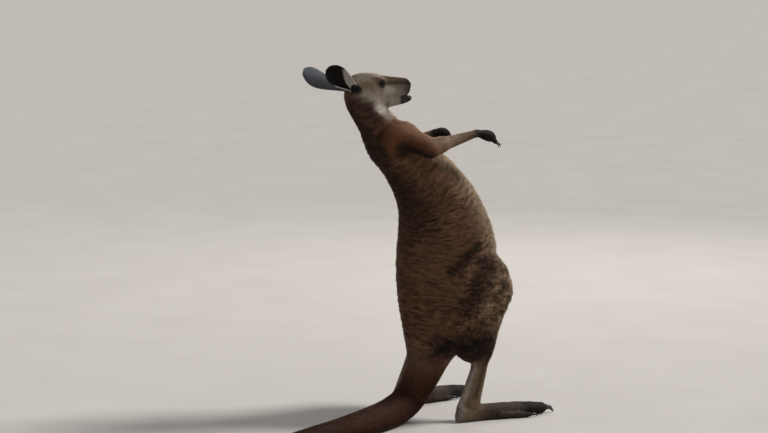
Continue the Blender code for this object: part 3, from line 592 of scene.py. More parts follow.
def down_the_trunk(p):
    """Length down the trunk's middle line to the place level with each point."""
    line = smooth_line([(x, 0, z) for z, x, _, _ in TRUNK[::-1]], 8)
    nearest, run, sofar = np.full(len(p), np.inf), np.zeros(len(p)), 0.0
    for a, b in zip(line[:-1], line[1:]):
        size = np.linalg.norm(b - a)
        along = np.clip((p - a) @ (b - a) / size**2, 0, 1)
        far = np.linalg.norm((p - a - along[:, None] * (b - a)) * [1, 0, 1], axis=1)
        run = np.where(far < nearest, sofar + along * size, run)
        nearest, sofar = np.minimum(nearest, far), sofar + size
    return run


# ---- ears
EAR_LINE = smooth_line(EAR, 6)
EAR_ROWS, EAR_ROUNDS = 56, 40


def ear_sheet(u, t, side):
    """One side of the cupped ear's gristle in the ear's frame: side -1 is its back, 1 its hollow."""
    half, curl = (np.interp(u, EAR_LINE[:, 0], EAR_LINE[:, k]) for k in (1, 2))
    out = side * 0.0011 * (1 - 0.55 * np.abs(t) ** 4)
    if side > 0:  # ribs of gristle up the hollow
        out = out + 0.0009 * np.exp(-((np.abs(t) - 0.38) / 0.1) ** 2) * np.clip(1.6 - u / 0.075, 0, 1)
    angle = t * (half - 0.0022) / curl
    return np.stack([u, (curl - out) * np.sin(angle), curl - (curl - out) * np.cos(angle)], -1)


def ear_shell(ear):
    """Points, faces, lie of the coat, and share along and across of one ear, closed at its rim."""
    turn = ear_axes(ear)
    u, t = np.linspace(0.004, EAR[-1][0] - 0.002, EAR_ROWS), np.linspace(-1, 1, EAR_ROUNDS)
    u, t = np.meshgrid(u, t, indexing="ij")
    points = [(from_head(ear["root"]) + ear_sheet(u, t, side) @ turn).reshape(-1, 3) for side in (-1, 1)]
    points = np.concatenate(points)
    n = EAR_ROWS * EAR_ROUNDS
    back, hollow = np.arange(2 * n).reshape(2, EAR_ROWS, EAR_ROUNDS)
    quads, inner = (np.stack([s[:-1, :-1], s[:-1, 1:], s[1:, 1:], s[1:, :-1]], -1).reshape(-1, 4)
                    for s in (back, hollow))
    loop = np.concatenate([back[0], back[1:, -1], back[-1, -2::-1], back[-2:0:-1, 0]])
    after = np.roll(loop, -1)
    faces = np.concatenate([quads, inner[:, [0, 3, 2, 1]], np.stack([loop, loop + n, after + n, after], -1)])
    a, b, c = points[quads[len(quads) // 2][:3]]
    if np.dot(np.cross(b - a, c - a), -turn[2]) < 0:
        faces = faces[:, ::-1]
    return points, faces, turn[0], np.tile(u.ravel() / EAR[-1][0], 2), np.tile(t.ravel(), 2)


def ear_axes(ear):
    """Rows: along the ear, across it, and the way its hollow faces."""
    z = unit(ear["face"])
    x = unit(np.array(ear["along"]) - np.dot(ear["along"], z) * z)
    return np.array([x, np.cross(z, x), z])


# ---- colour marks with painted light and shade, the same on the skin and the coat
def spot(p, a, b, reach, soft):
    """1 within reach of the line from a to b, fading to 0 over soft."""
    t = np.clip((reach + soft - rod(p, a, b, 0, 0)) / soft, 0, 1)
    return t * t * (3 - 2 * t)


def step_up(x, low, high):
    t = np.clip((x - low) / (high - low), 0, 1)
    return t * t * (3 - 2 * t)


def matting(p):
    """How clumped and damp the coat is: in the hollow of the thigh and along its lower edge."""
    side = folded(p)
    lines = (((0.075, 0.15, 0.46), (0.01, 0.165, 0.34)), ((0.09, 0.155, 0.33), (-0.04, 0.13, 0.225)))
    return 0.9 * np.max([spot(side, a, b, 0.045, 0.06) for a, b in lines], axis=0)


def wristward(p):
    """How far down the nearer forearm each point is, 0 at the elbow and 1 at the wrist."""
    far = []
    for arm in ARMS.values():
        a, way = np.array(arm["elbow"]), np.array(arm["wrist"]) - arm["elbow"]
        along = np.clip((p - a) @ way / (way @ way), 0, 1)
        far.append((np.linalg.norm(p - a - along[:, None] * way, axis=1), along))
    return np.where(far[0][0] < far[1][0], far[0][1], far[1][1])


HEAD_SPOTS = [  # tone, how much, the line it lies along in the head's frame, its reach and softness
    ("pale", 0.72, (0.02, 0.034, -0.02), (0.036, 0.032, -0.024), 0.007, 0.015),  # cheek
    ("pale", 0.7, (-0.09, 0.048, -0.0215), (-0.064, 0.054, -0.0235), 0.0025, 0.0045),  # under the ear
    ("pale", 0.34, (-0.07, 0.058, -0.037), (-0.044, 0.059, -0.043), 0.0025, 0.006),
    ("pale", 0.42, (0.05, 0.0, -0.066), (-0.03, 0.0, -0.078), 0.008, 0.014),  # under the jaw
    ("rust", 0.55, (-0.014, 0.037, 0.018), (0.004, 0.034, 0.019), 0.004, 0.011),  # brow
    ("rust", 0.34, (0.046, 0.028, -0.03), (0.058, 0.019, -0.041), 0.005, 0.012),  # jaw
    ("dark", 0.72, (0.024, 0.034, 0.003), (0.078, 0.02, 0.002), 0.003, 0.008),  # eye to nose
    ("dark", 0.92, (0.084, 0.014, 0.001), (0.092, 0.008, -0.006), 0.005, 0.006),  # nostril
    ("dark", 0.9, (0.078, 0.012, -0.048), (0.101, 0.005, -0.046), 0.01, 0.012),  # lower lip: dark skin, and painted shade on the chin's underside
    # painted shade low on the side of the jaw
    ("dark", 0.6, (0.021, 0.03, -0.056), (0.026, 0.028, -0.058), 0.003, 0.008),
    ("dark", 0.95, (-0.084, 0.047, -0.006), (-0.072, 0.047, -0.008), 0.011, 0.005),  # ear's foot
]
BODY_SPOTS = [  # the same on both sides of the body
    ("ash", 0.4, (0.08, 0.165, 0.33), (0.09, 0.15, 0.43), 0.02, 0.05),  # painted light on the front of the knee
    ("pale", 0.3, (-0.228, 0.05, 0.93), (-0.218, 0.052, 0.921), 0.004, 0.016),  # below the throat
    ("pale", 0.55, (-0.222, 0.01, 0.935), (-0.215, 0.01, 0.925), 0.012, 0.022),
    ("rust", 0.5, (-0.215, 0.08, 0.868), (-0.15, 0.12, 0.85), 0.02, 0.055),  # shoulder
    ("umber", 0.6, (0.07, 0.152, 0.492), (0.032, 0.163, 0.425), 0.014, 0.03),  # hollow above the knee, darker as painted shade and damp fur
    ("umber", 0.56, (0.032, 0.163, 0.425), (-0.006, 0.155, 0.355), 0.014, 0.03),
    ("umber", 0.62, (0.04, 0.15, 0.3), (0.062, 0.155, 0.27), 0.008, 0.018),
    ("umber", 0.8, (0.047, 0.129, 0.544), (-0.051, 0.14, 0.468), 0.007, 0.017),  # painted shade in the flank crease
    ("umber", 0.97, (-0.191, 0.101, 0.822), (-0.13, 0.13, 0.8), 0.012, 0.03),  # painted shade under the arm
    ("umber", 0.94, (0.06, 0.146, 0.236), (-0.05, 0.11, 0.222), 0.022, 0.055),  # painted shade under the haunch
    ("umber", 0.8, (-0.257, 0.03, 0.819), (-0.23, 0.05, 0.79), 0.01, 0.03),  # painted shade behind the shoulder
]


def leg_markings_and_painted_light(p, share, leg):
    """Tone and how much: a dark line down the shin between pale edges that are partly painted rim light, feet
    darkened partly as painted shade, dark toes, pale heel.
    """
    turn = np.array([math.cos(leg["turn"]), leg["side"] * math.sin(leg["turn"])])
    ahead = (p[:, :2] - leg["heel"]) @ turn
    same = (p[:, 1] * leg["side"] > 0) & (p[:, 2] < 0.08)
    yield "dark", 0.93 * step_up(ahead, 0.172, 0.222) * same
    # the feet darker towards the toes: their duller fur, and painted shade
    yield "umber", (0.42 + 0.42 * step_up(ahead, 0.01, 0.09)) * (share["foot"] + share["toe"]) * same
    knee, ankle = shin_top(leg) + [0.01, 0, 0.01], np.array(leg["ankle"]) + [0.02, 0, 0.03]
    # the pale edges along the shin's front and back are partly painted rim light
    lines = ("dark", 0.74, 0.0, 0.024), ("pale", 0.42, -0.03, 0.01), ("pale", 0.42, 0.026, 0.014)
    for tone, much, off, away in lines:
        aside = [off, leg["side"] * away, 0]
        yield tone, much * spot(p, knee + aside, ankle + aside, 0.003, 0.01)
    behind = np.array(leg["ankle"]) + [-0.03, 0, 0.06]
    yield "pale", 0.42 * spot(p, from_foot((-0.02, 0, 0.02), leg), behind, 0.012, 0.022)


def markings_and_painted_light(p, out, share):
    """How far the coat turns to each tone at points with outward directions out, painted light and shade
    included.
    """
    q, side, height = in_head(p), folded(p), p[:, 2]
    nose, brow = q[:, 0], q[:, 2]
    trunk = share["trunk"] + share["neck"] + share["thigh"]
    front = step_up(out[:, 0] + 0.25 * out[:, 2], 0.15, 0.95)
    back = step_up(-out[:, 0], 0.15, 0.92)
    face_zone = spot(q, (-0.045, 0.0, -0.022), (0.08, 0.0, -0.03), 0.048, 0.016)
    throat = spot(side, (-0.248, 0.047, 0.952), (-0.234, 0.047, 0.941), 0.006, 0.018)
    low_tail = step_up(-height, -0.2, -0.09)
    # the trunk paler where it faces forward and up: its paler belly fur, and painted light on the side
    # towards the light
    ash = np.maximum(0.8 * trunk * front * step_up(height, 0.2, 0.34), 0.8 * face_zone)
    ash = ash + 0.3 * share["forearm"] + 0.7 * (share["foot"] + share["toe"]) + 0.62 * share["shin"]
    # the upper arm greyer on its upward-facing side: painted light from above
    ash = ash + 0.1 * share["neck"] + 0.6 * share["upper_arm"] * step_up(out[:, 2], -0.1, 0.8)
    # darker on the back, and on the neck away from its front: its darker fur, and painted shade on the side
    # turned from the light
    umber = np.maximum(0.92 * (share["neck"] + share["trunk"] * step_up(height, 0.35, 0.75)) * back,
                       0.68 * share["neck"] * (1 - 0.8 * front))
    lids = 1 - step_up(outside_almond(q - EYE_AT), 0.0014, 0.0036)
    found = {
        "ash": [ash + 0.3 * share["tail"] * (1 - low_tail)],
        "pale": [0.52 * face_zone * step_up(-brow, -0.006, 0.04), 0.74 * throat,
                 # paler crown: painted light from above
                 0.36 * face_zone * step_up(brow, 0.0, 0.025) * step_up(-nose, -0.03, 0.0),
                 # palest at the trunk's most forward-facing edge: painted rim light
                 0.28 * trunk * step_up(out[:, 0], 0.72, 0.98) * step_up(height, 0.25, 0.5)],
        "rust": [0.07 * share["upper_arm"], (0.04 + 0.62 * low_tail) * (share["tail"] + share["tail_end"])],
        "umber": [umber * (1 - face_zone) * (1 - 0.95 * throat),
                  0.55 * face_zone * step_up(nose, 0.01, 0.035) * step_up(brow, -0.006, 0.01),
                  0.16 * share["trunk"] * step_up(-height, -0.62, -0.42),
                  0.82 * share["muzzle"] * step_up(nose, 0.046, 0.074) * step_up(brow, -0.044, -0.03),
                  (0.16 + 0.56 * low_tail) * share["tail"] + 0.8 * share["tail_end"],
                  0.7 * step_up(share["forearm"], 0.3, 0.8) * step_up(wristward(p), 0.3, 0.95)],
        "dark": [0.97 * step_up(share["hand"], 0.08, 0.5)
                 + 0.6 * step_up(nose, 0.062, 0.09) * (share["face"] + share["muzzle"]),
                 0.88 * lids * (np.linalg.norm(q - EYE_AT, axis=1) < 0.022),
                 0.75 * share["tail_end"] * step_up(-p[:, 0], 0.52, 0.74)],
    }
    for places, rows in ((q, HEAD_SPOTS), (side, BODY_SPOTS)):
        for tone, much, *line in rows:
            found[tone].append(much * spot(places, *line))
    for leg in LEGS.values():
        for tone, much in leg_markings_and_painted_light(p, share, leg):
            found[tone].append(much)
    return {tone: np.max(values, axis=0) for tone, values in found.items()} | {"slate": np.zeros(len(p))}


def ear_markings_and_painted_light(marks, here, along, across):
    """Writes one ear's tones over marks: black hollow, partly painted shade; slate back, its grey fur with a
    painted bluish sheen, darker towards its lower rim as painted shade; pale lower rim and front edge.
    """
    inner = np.arange(len(along)) >= len(along) // 2
    low, edge = step_up(across, 0.84, 0.96), step_up(np.abs(across), 0.84, 0.97) * (across < 0)
    front = step_up(-across - 1.9 * along, -0.66, -0.42) * step_up(-along, -0.76, -0.6)
    # the back darkens towards its lower rim: painted shade
    outer_dark = 0.24 + 0.34 * step_up(across, 0.1, 1.0) + 0.2 * edge
    # the hollow black: its dark skin, and painted shade
    marks["dark"][here] = np.where(inner, 1.0, outer_dark) * (1 - front)
    marks["dark"][here] *= 1 - 0.85 * inner * low * (along < 0.62)
    # slate: the back's grey fur with a painted bluish sheen of sky light
    marks["slate"][here] = np.where(inner, 0.0, 0.95) * (1 - front)
    marks["pale"][here] = np.maximum(0.8 * low, front)
    for tone in ("ash", "umber", "rust"):
        marks[tone][here] = 0.0


# ---- node helper and colours
def linear(code):
    """sRGB hex to linear red, green, blue, alpha."""
    parts = [int(code[k:k + 2], 16) / 255 for k in (1, 3, 5)]
    return tuple(c / 12.92 if c <= 0.04045 else ((c + 0.055) / 1.055) ** 2.4 for c in parts) + (1.0,)


MATH, VECTOR, NOISE = "ShaderNodeMath", "ShaderNodeVectorMath", "ShaderNodeTexNoise"
RANGE, MIX, HELD = "ShaderNodeMapRange", "ShaderNodeMix", "ShaderNodeAttribute"
STORE = "GeometryNodeStoreNamedAttribute"


def add(tree, kind, *inputs, out=None, **more):
    """Adds a node and gives its output out, or else its first.

    A first input in quotes is the operation.  Inputs are given in order, or by name with a capital letter;
    names in small letters are settings, and ramp gives a colour ramp's steps."""
    node = tree.nodes.new(kind)
    if inputs and isinstance(inputs[0], str):
        node.operation, *inputs = inputs
    steps = more.pop("ramp", {})
    for _ in range(len(steps) - 2):
        node.color_ramp.elements.new(0.5)
    for k, (at, colour) in enumerate(steps.items()):
        node.color_ramp.elements[k].position, node.color_ramp.elements[k].color = at, colour
    for key in [k for k in more if k[0].islower()]:
        setattr(node, key, more.pop(key))
    live = [s for s in node.inputs if s.enabled]
    called = {key: s for s in (*live, *node.inputs)[::-1] for key in (s.name.replace(" ", "_"), s.identifier)}
    for socket, value in (*zip(live, inputs), *((called[key], value) for key, value in more.items())):
        if isinstance(value, bpy.types.NodeSocket):
            tree.links.new(value, socket)
        else:
            socket.default_value = value
    shown = [s for s in node.outputs if s.enabled]
    return shown[out] if isinstance(out, int) else next(s for s in shown if out in (None, s.name))


# ---- waves across the lie of the coat
WAVES, WAVE_BREAKS = 145.0, 30.0  # cells per metre along the lie, 7 mm, and across it, 33 mm


def waves(tree, place, run, much):
    """Crests and troughs from 1 to -1 at a place, run metres down the coat, in uneven patches."""
    warp = add(tree, NOISE, Vector=place, Scale=13.0, Detail=1.0)
    warp = add(tree, MATH, "MULTIPLY_ADD", warp, 0.045, run)
    warp = add(tree, MATH, "MULTIPLY", warp, WAVES / WAVE_BREAKS)
    rise = add(tree, NOISE, noise_dimensions="4D", Vector=place, W=warp, Scale=WAVE_BREAKS, Detail=2.0,
               Roughness=0.55)
    rise = add(tree, RANGE, rise, 0.37, 0.63, -1.0, 1.0)
    patch = add(tree, NOISE, Vector=place, Scale=10.0, Detail=2.0)
    patch = add(tree, RANGE, patch, 0.4, 0.6, 0.55, 1.0)
    rise = add(tree, MATH, "MULTIPLY", rise, patch)
    return add(tree, MATH, "MULTIPLY", rise, much)


# ---- one node tree grows every piece of the coat
LOCK_SCALE = 46.0  # locks 22 mm across
SIZES = 0.72, 1.22  # range of the tufts' sizes
STAND, WAVE_STAND = 0.8, 0.45  # how far tips stand off, on the level and more on a crest
OVER_FLOOR = -9.0, -9.0, 0.0012  # no tuft goes lower than this
PATCH = 0.0015, 0.003, 0  # of the unwrap that one tuft covers
SKIN_SHADE = 1.1, 1.1, 1.1  # weight of the skin's direction in a tuft's shading


def tuft_tree():
    tree = bpy.data.node_groups.new("fur_tufts", "GeometryNodeTree")
    tree.interface.new_socket("Geometry", in_out="INPUT", socket_type="NodeSocketGeometry")
    for name, kind in (("Piece", "Int"), ("Seed", "Int"), ("Density", "Float"), ("Flatness", "Float"),
                       ("Swing", "Float"), ("Locks", "Float"), ("Material", "Material")):
        tree.interface.new_socket(name, in_out="INPUT", socket_type="NodeSocket" + kind)
    tree.interface.new_socket("Geometry", in_out="OUTPUT", socket_type="NodeSocketGeometry")
    given = tree.nodes.new("NodeGroupInput").outputs
    skin = given["Geometry"]
    names = {"INT": "piece",
             "FLOAT": "mat grow_run grow_long grow_wide grow_lift grow_dense grow_phase grow_wavy "
                      "grow_breadth",
             "FLOAT_VECTOR": "OFBake blade grow_lie grow_rise grow_root grow_tip grow_across grow_patch"}
    held = {name: add(tree, "GeometryNodeInputNamedAttribute", data_type=kind, Name=name)
            for kind, several in names.items() for name in several.split()}
    place = add(tree, "GeometryNodeInputPosition")

    # roots, scattered on the faces of one piece
    mine = add(tree, "FunctionNodeCompare", held["piece"], given["Piece"], data_type="INT", operation="EQUAL")
    dense = add(tree, MATH, "MULTIPLY", held["grow_dense"], given["Density"])
    roots = add(tree, "GeometryNodeDistributePointsOnFaces", distribute_method="RANDOM",
                Mesh=skin, Selection=mine, Density=dense, Seed=given["Seed"])

    # locks that swing together, most where the coat is matted
    lock = add(tree, NOISE, Vector=place, Scale=LOCK_SCALE, Detail=1.5)
    lock = add(tree, RANGE, lock, 0.3, 0.7, -1.0, 1.0)
    matted = add(tree, MATH, "MULTIPLY_ADD", held["mat"], 1.0, given["Locks"])
    lock = add(tree, MATH, "MULTIPLY", lock, matted)
    stray, size, shade = (add(tree, "FunctionNodeRandomValue", data_type="FLOAT",
                              Min=low, Max=high, Seed=seed)
                          for low, high, seed in ((-1.0, 1.0, 3), (*SIZES, 5), (0.0, 1.0, 8)))
    swing = add(tree, MATH, "MULTIPLY_ADD", stray, given["Swing"], lock)
    across = add(tree, VECTOR, "CROSS_PRODUCT", held["grow_rise"], held["grow_lie"])
    aside = add(tree, VECTOR, "SCALE", across, Scale=swing)
    lie = add(tree, VECTOR, "ADD", held["grow_lie"], aside)
    lie = add(tree, VECTOR, "NORMALIZE", lie)
    across = add(tree, VECTOR, "CROSS_PRODUCT", lie, held["grow_rise"])
    long = add(tree, MATH, "MULTIPLY", held["grow_long"], size)

    # the tip of each tuft follows the skin, at the coat's depth over it
    ahead = add(tree, VECTOR, "MULTIPLY_ADD", lie, long, place)
    under, rise = (add(tree, "GeometryNodeSampleNearestSurface", data_type="FLOAT_VECTOR", Mesh=skin,
                       Value=value, Sample_Position=ahead) for value in (place, held["grow_rise"]))
    run = add(tree, MATH, "ADD", held["grow_phase"], long)
    stand = add(tree, MATH, "MULTIPLY_ADD", waves(tree, under, run, held["grow_wavy"]), WAVE_STAND, STAND)
    stand = add(tree, MATH, "MULTIPLY", stand, held["grow_lift"])
    tip = add(tree, VECTOR, "MULTIPLY_ADD", rise, stand, under)
    kept = {"grow_root": place, "grow_tip": tip, "grow_across": across, "grow_patch": held["OFBake"]}
    store = [(name, "FLOAT_VECTOR", value) for name, value in kept.items()]
    store += [("grow_breadth", "FLOAT", add(tree, MATH, "MULTIPLY", held["grow_wide"], size)),
              ("shade", "FLOAT", shade), ("grow_run", "FLOAT", long)]
    for name, kind, value in store:
        roots = add(tree, STORE, data_type=kind, domain="POINT", Geometry=roots, Name=name, Value=value)
    roots = add(tree, "GeometryNodeRemoveAttribute", Geometry=roots, Name="OFBake")

    # a closed three-sided spike on each root
    spike = add(tree, "GeometryNodeMeshCone", fill_type="NGON", Vertices=3, Radius_Top=0.0, Radius_Bottom=1.0,
                Depth=1.0)
    tufts = add(tree, "GeometryNodeInstanceOnPoints", Points=roots, Instance=spike)
    tufts = add(tree, "GeometryNodeRealizeInstances", Geometry=tufts)
    blade = add(tree, VECTOR, "SUBTRACT", place, held["grow_root"])
    tufts = add(tree, STORE, data_type="FLOAT_VECTOR", domain="POINT", Geometry=tufts, Name="blade",
                Value=blade)

    # stretched from root to tip, and flat on the skin
    ridge, edge, down = (add(tree, "ShaderNodeSeparateXYZ", held["blade"], out=k) for k in (0, 1, 2))
    up = add(tree, MATH, "SUBTRACT", 1.0, down)
    spots = [add(tree, VECTOR, "SCALE", held[name], Scale=much)
             for name, much in (("grow_root", up), ("grow_tip", down))]
    broad = held["grow_breadth"]
    thick = add(tree, MATH, "MULTIPLY", broad, given["Flatness"])
    for value, much, way in ((edge, broad, held["grow_across"]), (ridge, thick, held["grow_rise"])):
        much = add(tree, MATH, "MULTIPLY", value, much)
        spots.append(add(tree, VECTOR, "SCALE", way, Scale=much))
    spot_of = spots[0]
    for other in spots[1:]:
        spot_of = add(tree, VECTOR, "ADD", spot_of, other)
    spot_of = add(tree, VECTOR, "MAXIMUM", spot_of, OVER_FLOOR)
    tufts = add(tree, "GeometryNodeSetPosition", Geometry=tufts, Position=spot_of)

    # each tuft is a small patch at its root's place on the skin's unwrap
    corner = add(tree, "ShaderNodeCombineXYZ", edge, down)
    corner = add(tree, VECTOR, "MULTIPLY_ADD", corner, PATCH, held["grow_patch"])
    tufts = add(tree, STORE, data_type="FLOAT2", domain="CORNER", Geometry=tufts, Name="OFBake", Value=corner)

    # what the coat's material reads: how far down the coat, and how wavy it is there
    run = add(tree, MATH, "MULTIPLY_ADD", down, held["grow_run"], held["grow_phase"])
    for name, value in (("run", run), ("wavy", held["grow_wavy"])):
        tufts = add(tree, STORE, data_type="FLOAT", domain="POINT", Geometry=tufts, Name=name, Value=value)

    # shaded mostly as the skin below it, so that the coat reads as one soft surface
    own = add(tree, "GeometryNodeInputNormal")
    soft = add(tree, VECTOR, "MULTIPLY_ADD", held["grow_rise"], SKIN_SHADE, own)
    soft = add(tree, VECTOR, "NORMALIZE", soft)
    tufts = add(tree, "GeometryNodeSetShadeSmooth", Geometry=tufts, Shade_Smooth=True)
    tufts = add(tree, "GeometryNodeSetMeshNormal", mode="FREE", domain="POINT", Mesh=tufts,
                Custom_Normal=soft)
    tufts = add(tree, "GeometryNodeRemoveAttribute", pattern_mode="WILDCARD", Geometry=tufts, Name="grow_*")
    tufts = add(tree, "GeometryNodeSetMaterial", Geometry=tufts, Material=given["Material"])
    tree.links.new(tufts, tree.nodes.new("NodeGroupOutput").inputs[0])
    return tree


def grown(tree, skin, name, **inputs):
    """The tree's result on the skin, as a plain mesh object."""
    work = bpy.data.objects.new(name, skin.data)
    bpy.context.collection.objects.link(work)
    tool = work.modifiers.new("tufts", "NODES")
    tool.node_group = tree
    for item in tree.interface.items_tree:
        if item.in_out == "INPUT" and item.name in inputs:
            tool[item.identifier] = inputs[item.name]
    shape = bpy.data.meshes.new_from_object(work.evaluated_get(bpy.context.evaluated_depsgraph_get()))
    bpy.data.objects.remove(work, do_unlink=True)
    shape.name = name
    piece = bpy.data.objects.new(name, shape)
    bpy.context.collection.objects.link(piece)
    return piece


# ---- materials
BROWNS = "#5c3f2e", "#7f5f48"  # the coat where nothing marks it
# slate is grey fur with a painted bluish sheen of sky light
TONES = {"ash": "#9a8871", "rust": "#7a3f1b", "pale": "#dcd7d1", "umber": "#241710", "slate": "#8b8f9b",
         "dark": "#0e0c0d"}


def tone_group():
    """The kangaroo's colour from its marks and painted light and shade, for skin and coat alike."""
    tree = bpy.data.node_groups.new("kangaroo_tones", "ShaderNodeTree")
    tree.interface.new_socket("Color", in_out="OUTPUT", socket_type="NodeSocketColor")
    place = add(tree, "ShaderNodeTexCoord", out="Object")
    # patches a hand wide where the brown warms and cools, and flecks of 6 mm where guard hairs differ
    broad = add(tree, NOISE, Vector=place, Scale=11.0, Detail=3.0)
    clump = add(tree, NOISE, Vector=place, Scale=75.0, Detail=2.0, Distortion=0.6)
    fleck = add(tree, NOISE, Vector=place, Scale=160.0, Detail=2.0)
    colour = add(tree, MIX, data_type="RGBA", Factor_Float=broad, A_Color=linear(BROWNS[0]),
                 B_Color=linear(BROWNS[1]))
    matted = add(tree, HELD, attribute_name="mat", out="Fac")
    broken = add(tree, MATH, "MULTIPLY_ADD", matted, 3.4, 1.8)
    for name, code in TONES.items():
        much = add(tree, HELD, attribute_name=name, out="Fac")
        # clumps 13 mm across break a marking's edge, flecks break it everywhere
        left = add(tree, MATH, "SUBTRACT", 1.0, much)
        edge = add(tree, MATH, "MULTIPLY_ADD", clump, 1.0, -0.5)
        edge = add(tree, MATH, "MULTIPLY", edge, broken)
        edge = add(tree, MATH, "MULTIPLY", edge, left)
        fine = add(tree, MATH, "MULTIPLY_ADD", fleck, 0.5, -0.25)
        edge = add(tree, MATH, "ADD", edge, fine)
        much = add(tree, MATH, "MULTIPLY_ADD", edge, much, much, use_clamp=True)
        colour = add(tree, MIX, data_type="RGBA", Factor_Float=much, A_Color=colour, B_Color=linear(code))
    # damp, matted fur goes in clumps, with painted shade between them and painted highlights on them
    clot = add(tree, NOISE, Vector=place, Scale=48.0, Detail=3.0, Distortion=1.2)
    light = add(tree, MATH, "MULTIPLY_ADD", clot, 4.4, -2.35)
    light = add(tree, MATH, "MULTIPLY_ADD", light, matted, 1.0)
    light = add(tree, RANGE, light, 0.3, 1.3, 0.3, 1.3)
    colour = add(tree, VECTOR, "SCALE", colour, Scale=light)
    tree.links.new(colour, tree.nodes.new("NodeGroupOutput").inputs[0])
    return tree


def blank(name, **constants):
    """A new Principled material and its node tree, with constants set on the shader's sockets."""
    made = bpy.data.materials.new(name)
    made.use_nodes = True
    for key, value in constants.items():
        made.node_tree.nodes["Principled BSDF"].inputs[key.replace("_", " ")].default_value = value
    return made, made.node_tree


def wired(made, **values):
    """The material, with nodes' values linked to the shader's sockets."""
    for key, value in values.items():
        socket = made.node_tree.nodes["Principled BSDF"].inputs[key.replace("_", " ")]
        made.node_tree.links.new(value, socket)
    return made


TUFT_LIGHT = {0.0: (0.55, 0.52, 0.5, 1), 0.45: (0.88, 0.84, 0.8, 1),  # from root to tip
              0.75: (1.12, 1.1, 1.06, 1), 1.0: (1.02, 0.99, 0.95, 1)}
IRIS = {0.4: "#040303", 0.47: "#2c180e", 0.66: "#3d2314", 0.78: "#120b08", 0.9: "#33261f", 1.0: "#4b3a33"}
WAVE_SHADE, WAVE_SHADE_ASH = 0.74, -0.48  # how strongly waves show, as painted shade in their troughs and painted light on their crests, and less so where the coat is ashy


def fur(tones):
    """Kangaroo fur: keratin guard hairs, matt and soft, dark at the root and grizzled to a paler tip."""
    made, tree = blank("kangaroo_fur", Roughness=0.62, IOR=1.54, Specular_IOR_Level=0.14, Sheen_Weight=0.03,
                       Sheen_Roughness=0.45)
    tone = add(tree, "ShaderNodeGroup", node_tree=tones)
    shade = add(tree, HELD, attribute_name="shade", out="Fac")
    run, wavy = (add(tree, HELD, attribute_name=name, out="Fac") for name in ("run", "wavy"))
    wave = waves(tree, add(tree, "ShaderNodeTexCoord", out="Object"), run, wavy)
    blade = add(tree, HELD, attribute_name="blade", out="Vector")
    down = add(tree, "ShaderNodeSeparateXYZ", blade, out=2)
    light = add(tree, "ShaderNodeValToRGB", down, ramp=TUFT_LIGHT)
    much = add(tree, MATH, "MULTIPLY_ADD", shade, 0.3, 0.86)
    grey = add(tree, HELD, attribute_name="ash", out="Fac")
    # waves painted into the colour: painted shade in the troughs, painted light on the crests
    strength = add(tree, MATH, "MULTIPLY_ADD", grey, WAVE_SHADE_ASH, WAVE_SHADE)
    deep = add(tree, MATH, "MULTIPLY_ADD", wave, strength, 1.0)
    much = add(tree, MATH, "MULTIPLY", much, deep)
    colour = add(tree, MIX, data_type="RGBA", blend_type="MULTIPLY", Factor_Float=1.0, A_Color=tone,
                 B_Color=light)
    colour = add(tree, VECTOR, "SCALE", colour, Scale=much)
    return wired(made, Base_Color=colour)


def bare_skin(tones):
    """Skin with the shortest underfur: darker than the tips, finely pebbled, a little moist."""
    made, tree = blank("kangaroo_skin", IOR=1.4, Specular_IOR_Level=0.35)
    tone = add(tree, "ShaderNodeGroup", node_tree=tones)
    place = add(tree, "ShaderNodeTexCoord", out="Object")
    pebble = add(tree, "ShaderNodeTexVoronoi", Vector=place, Scale=900.0)  # 1.1 mm pebbles
    fine = add(tree, NOISE, Vector=place, Scale=520.0, Detail=3.0)
    dim = add(tree, MATH, "MULTIPLY_ADD", fine, 0.3, 0.42)
    colour = add(tree, VECTOR, "SCALE", tone, Scale=dim)
    rough = add(tree, MATH, "MULTIPLY_ADD", fine, 0.25, 0.42)
    relief = add(tree, MATH, "MULTIPLY_ADD", pebble, 0.6, fine)
    bump = add(tree, "ShaderNodeBump", Strength=0.35, Distance=0.0006, Height=relief)
    return wired(made, Base_Color=colour, Roughness=rough, Normal=bump)


def horn():
    """Claw horn: keratin grown in long fibres, near black, worn satin at the tip."""
    made, tree = blank("claw_horn", IOR=1.54, Specular_IOR_Level=0.5)
    place = add(tree, "ShaderNodeTexCoord", out="Object")
    grain = add(tree, "ShaderNodeMapping", place, Scale=(120.0, 900.0, 900.0))  # fibres 1 mm apart
    grain = add(tree, NOISE, Vector=grain, Scale=1.0, Detail=3.0)
    colour = add(tree, MIX, data_type="RGBA", Factor_Float=grain, A_Color=linear("#0d0b0a"),
                 B_Color=linear("#3a302a"))
    rough = add(tree, MATH, "MULTIPLY_ADD", grain, 0.25, 0.28)
    bump = add(tree, "ShaderNodeBump", Strength=0.3, Distance=0.0003, Height=grain)
    return wired(made, Base_Color=colour, Roughness=rough, Normal=bump)


def wet_eye():
    """Living eye: a dark brown iris with fine rays round a wide pupil, under a clear wet cornea."""
    made, tree = blank("wet_eye", Roughness=0.22, IOR=1.38, Specular_IOR_Level=0.15, Coat_Weight=0.35,
                       Coat_Roughness=0.015, Coat_IOR=1.38)
    ring = add(tree, HELD, attribute_name="ring", out="Fac")
    place = add(tree, "ShaderNodeTexCoord", out="Object")
    rays = add(tree, NOISE, Vector=place, Scale=700.0, Detail=2.0, Distortion=1.2)
    bands = add(tree, MATH, "MULTIPLY_ADD", rays, 0.1, -0.05)
    bands = add(tree, MATH, "ADD", ring, bands)
    colour = add(tree, "ShaderNodeValToRGB", bands, ramp={at: linear(code) for at, code in IRIS.items()})
    return wired(made, Base_Color=colour)


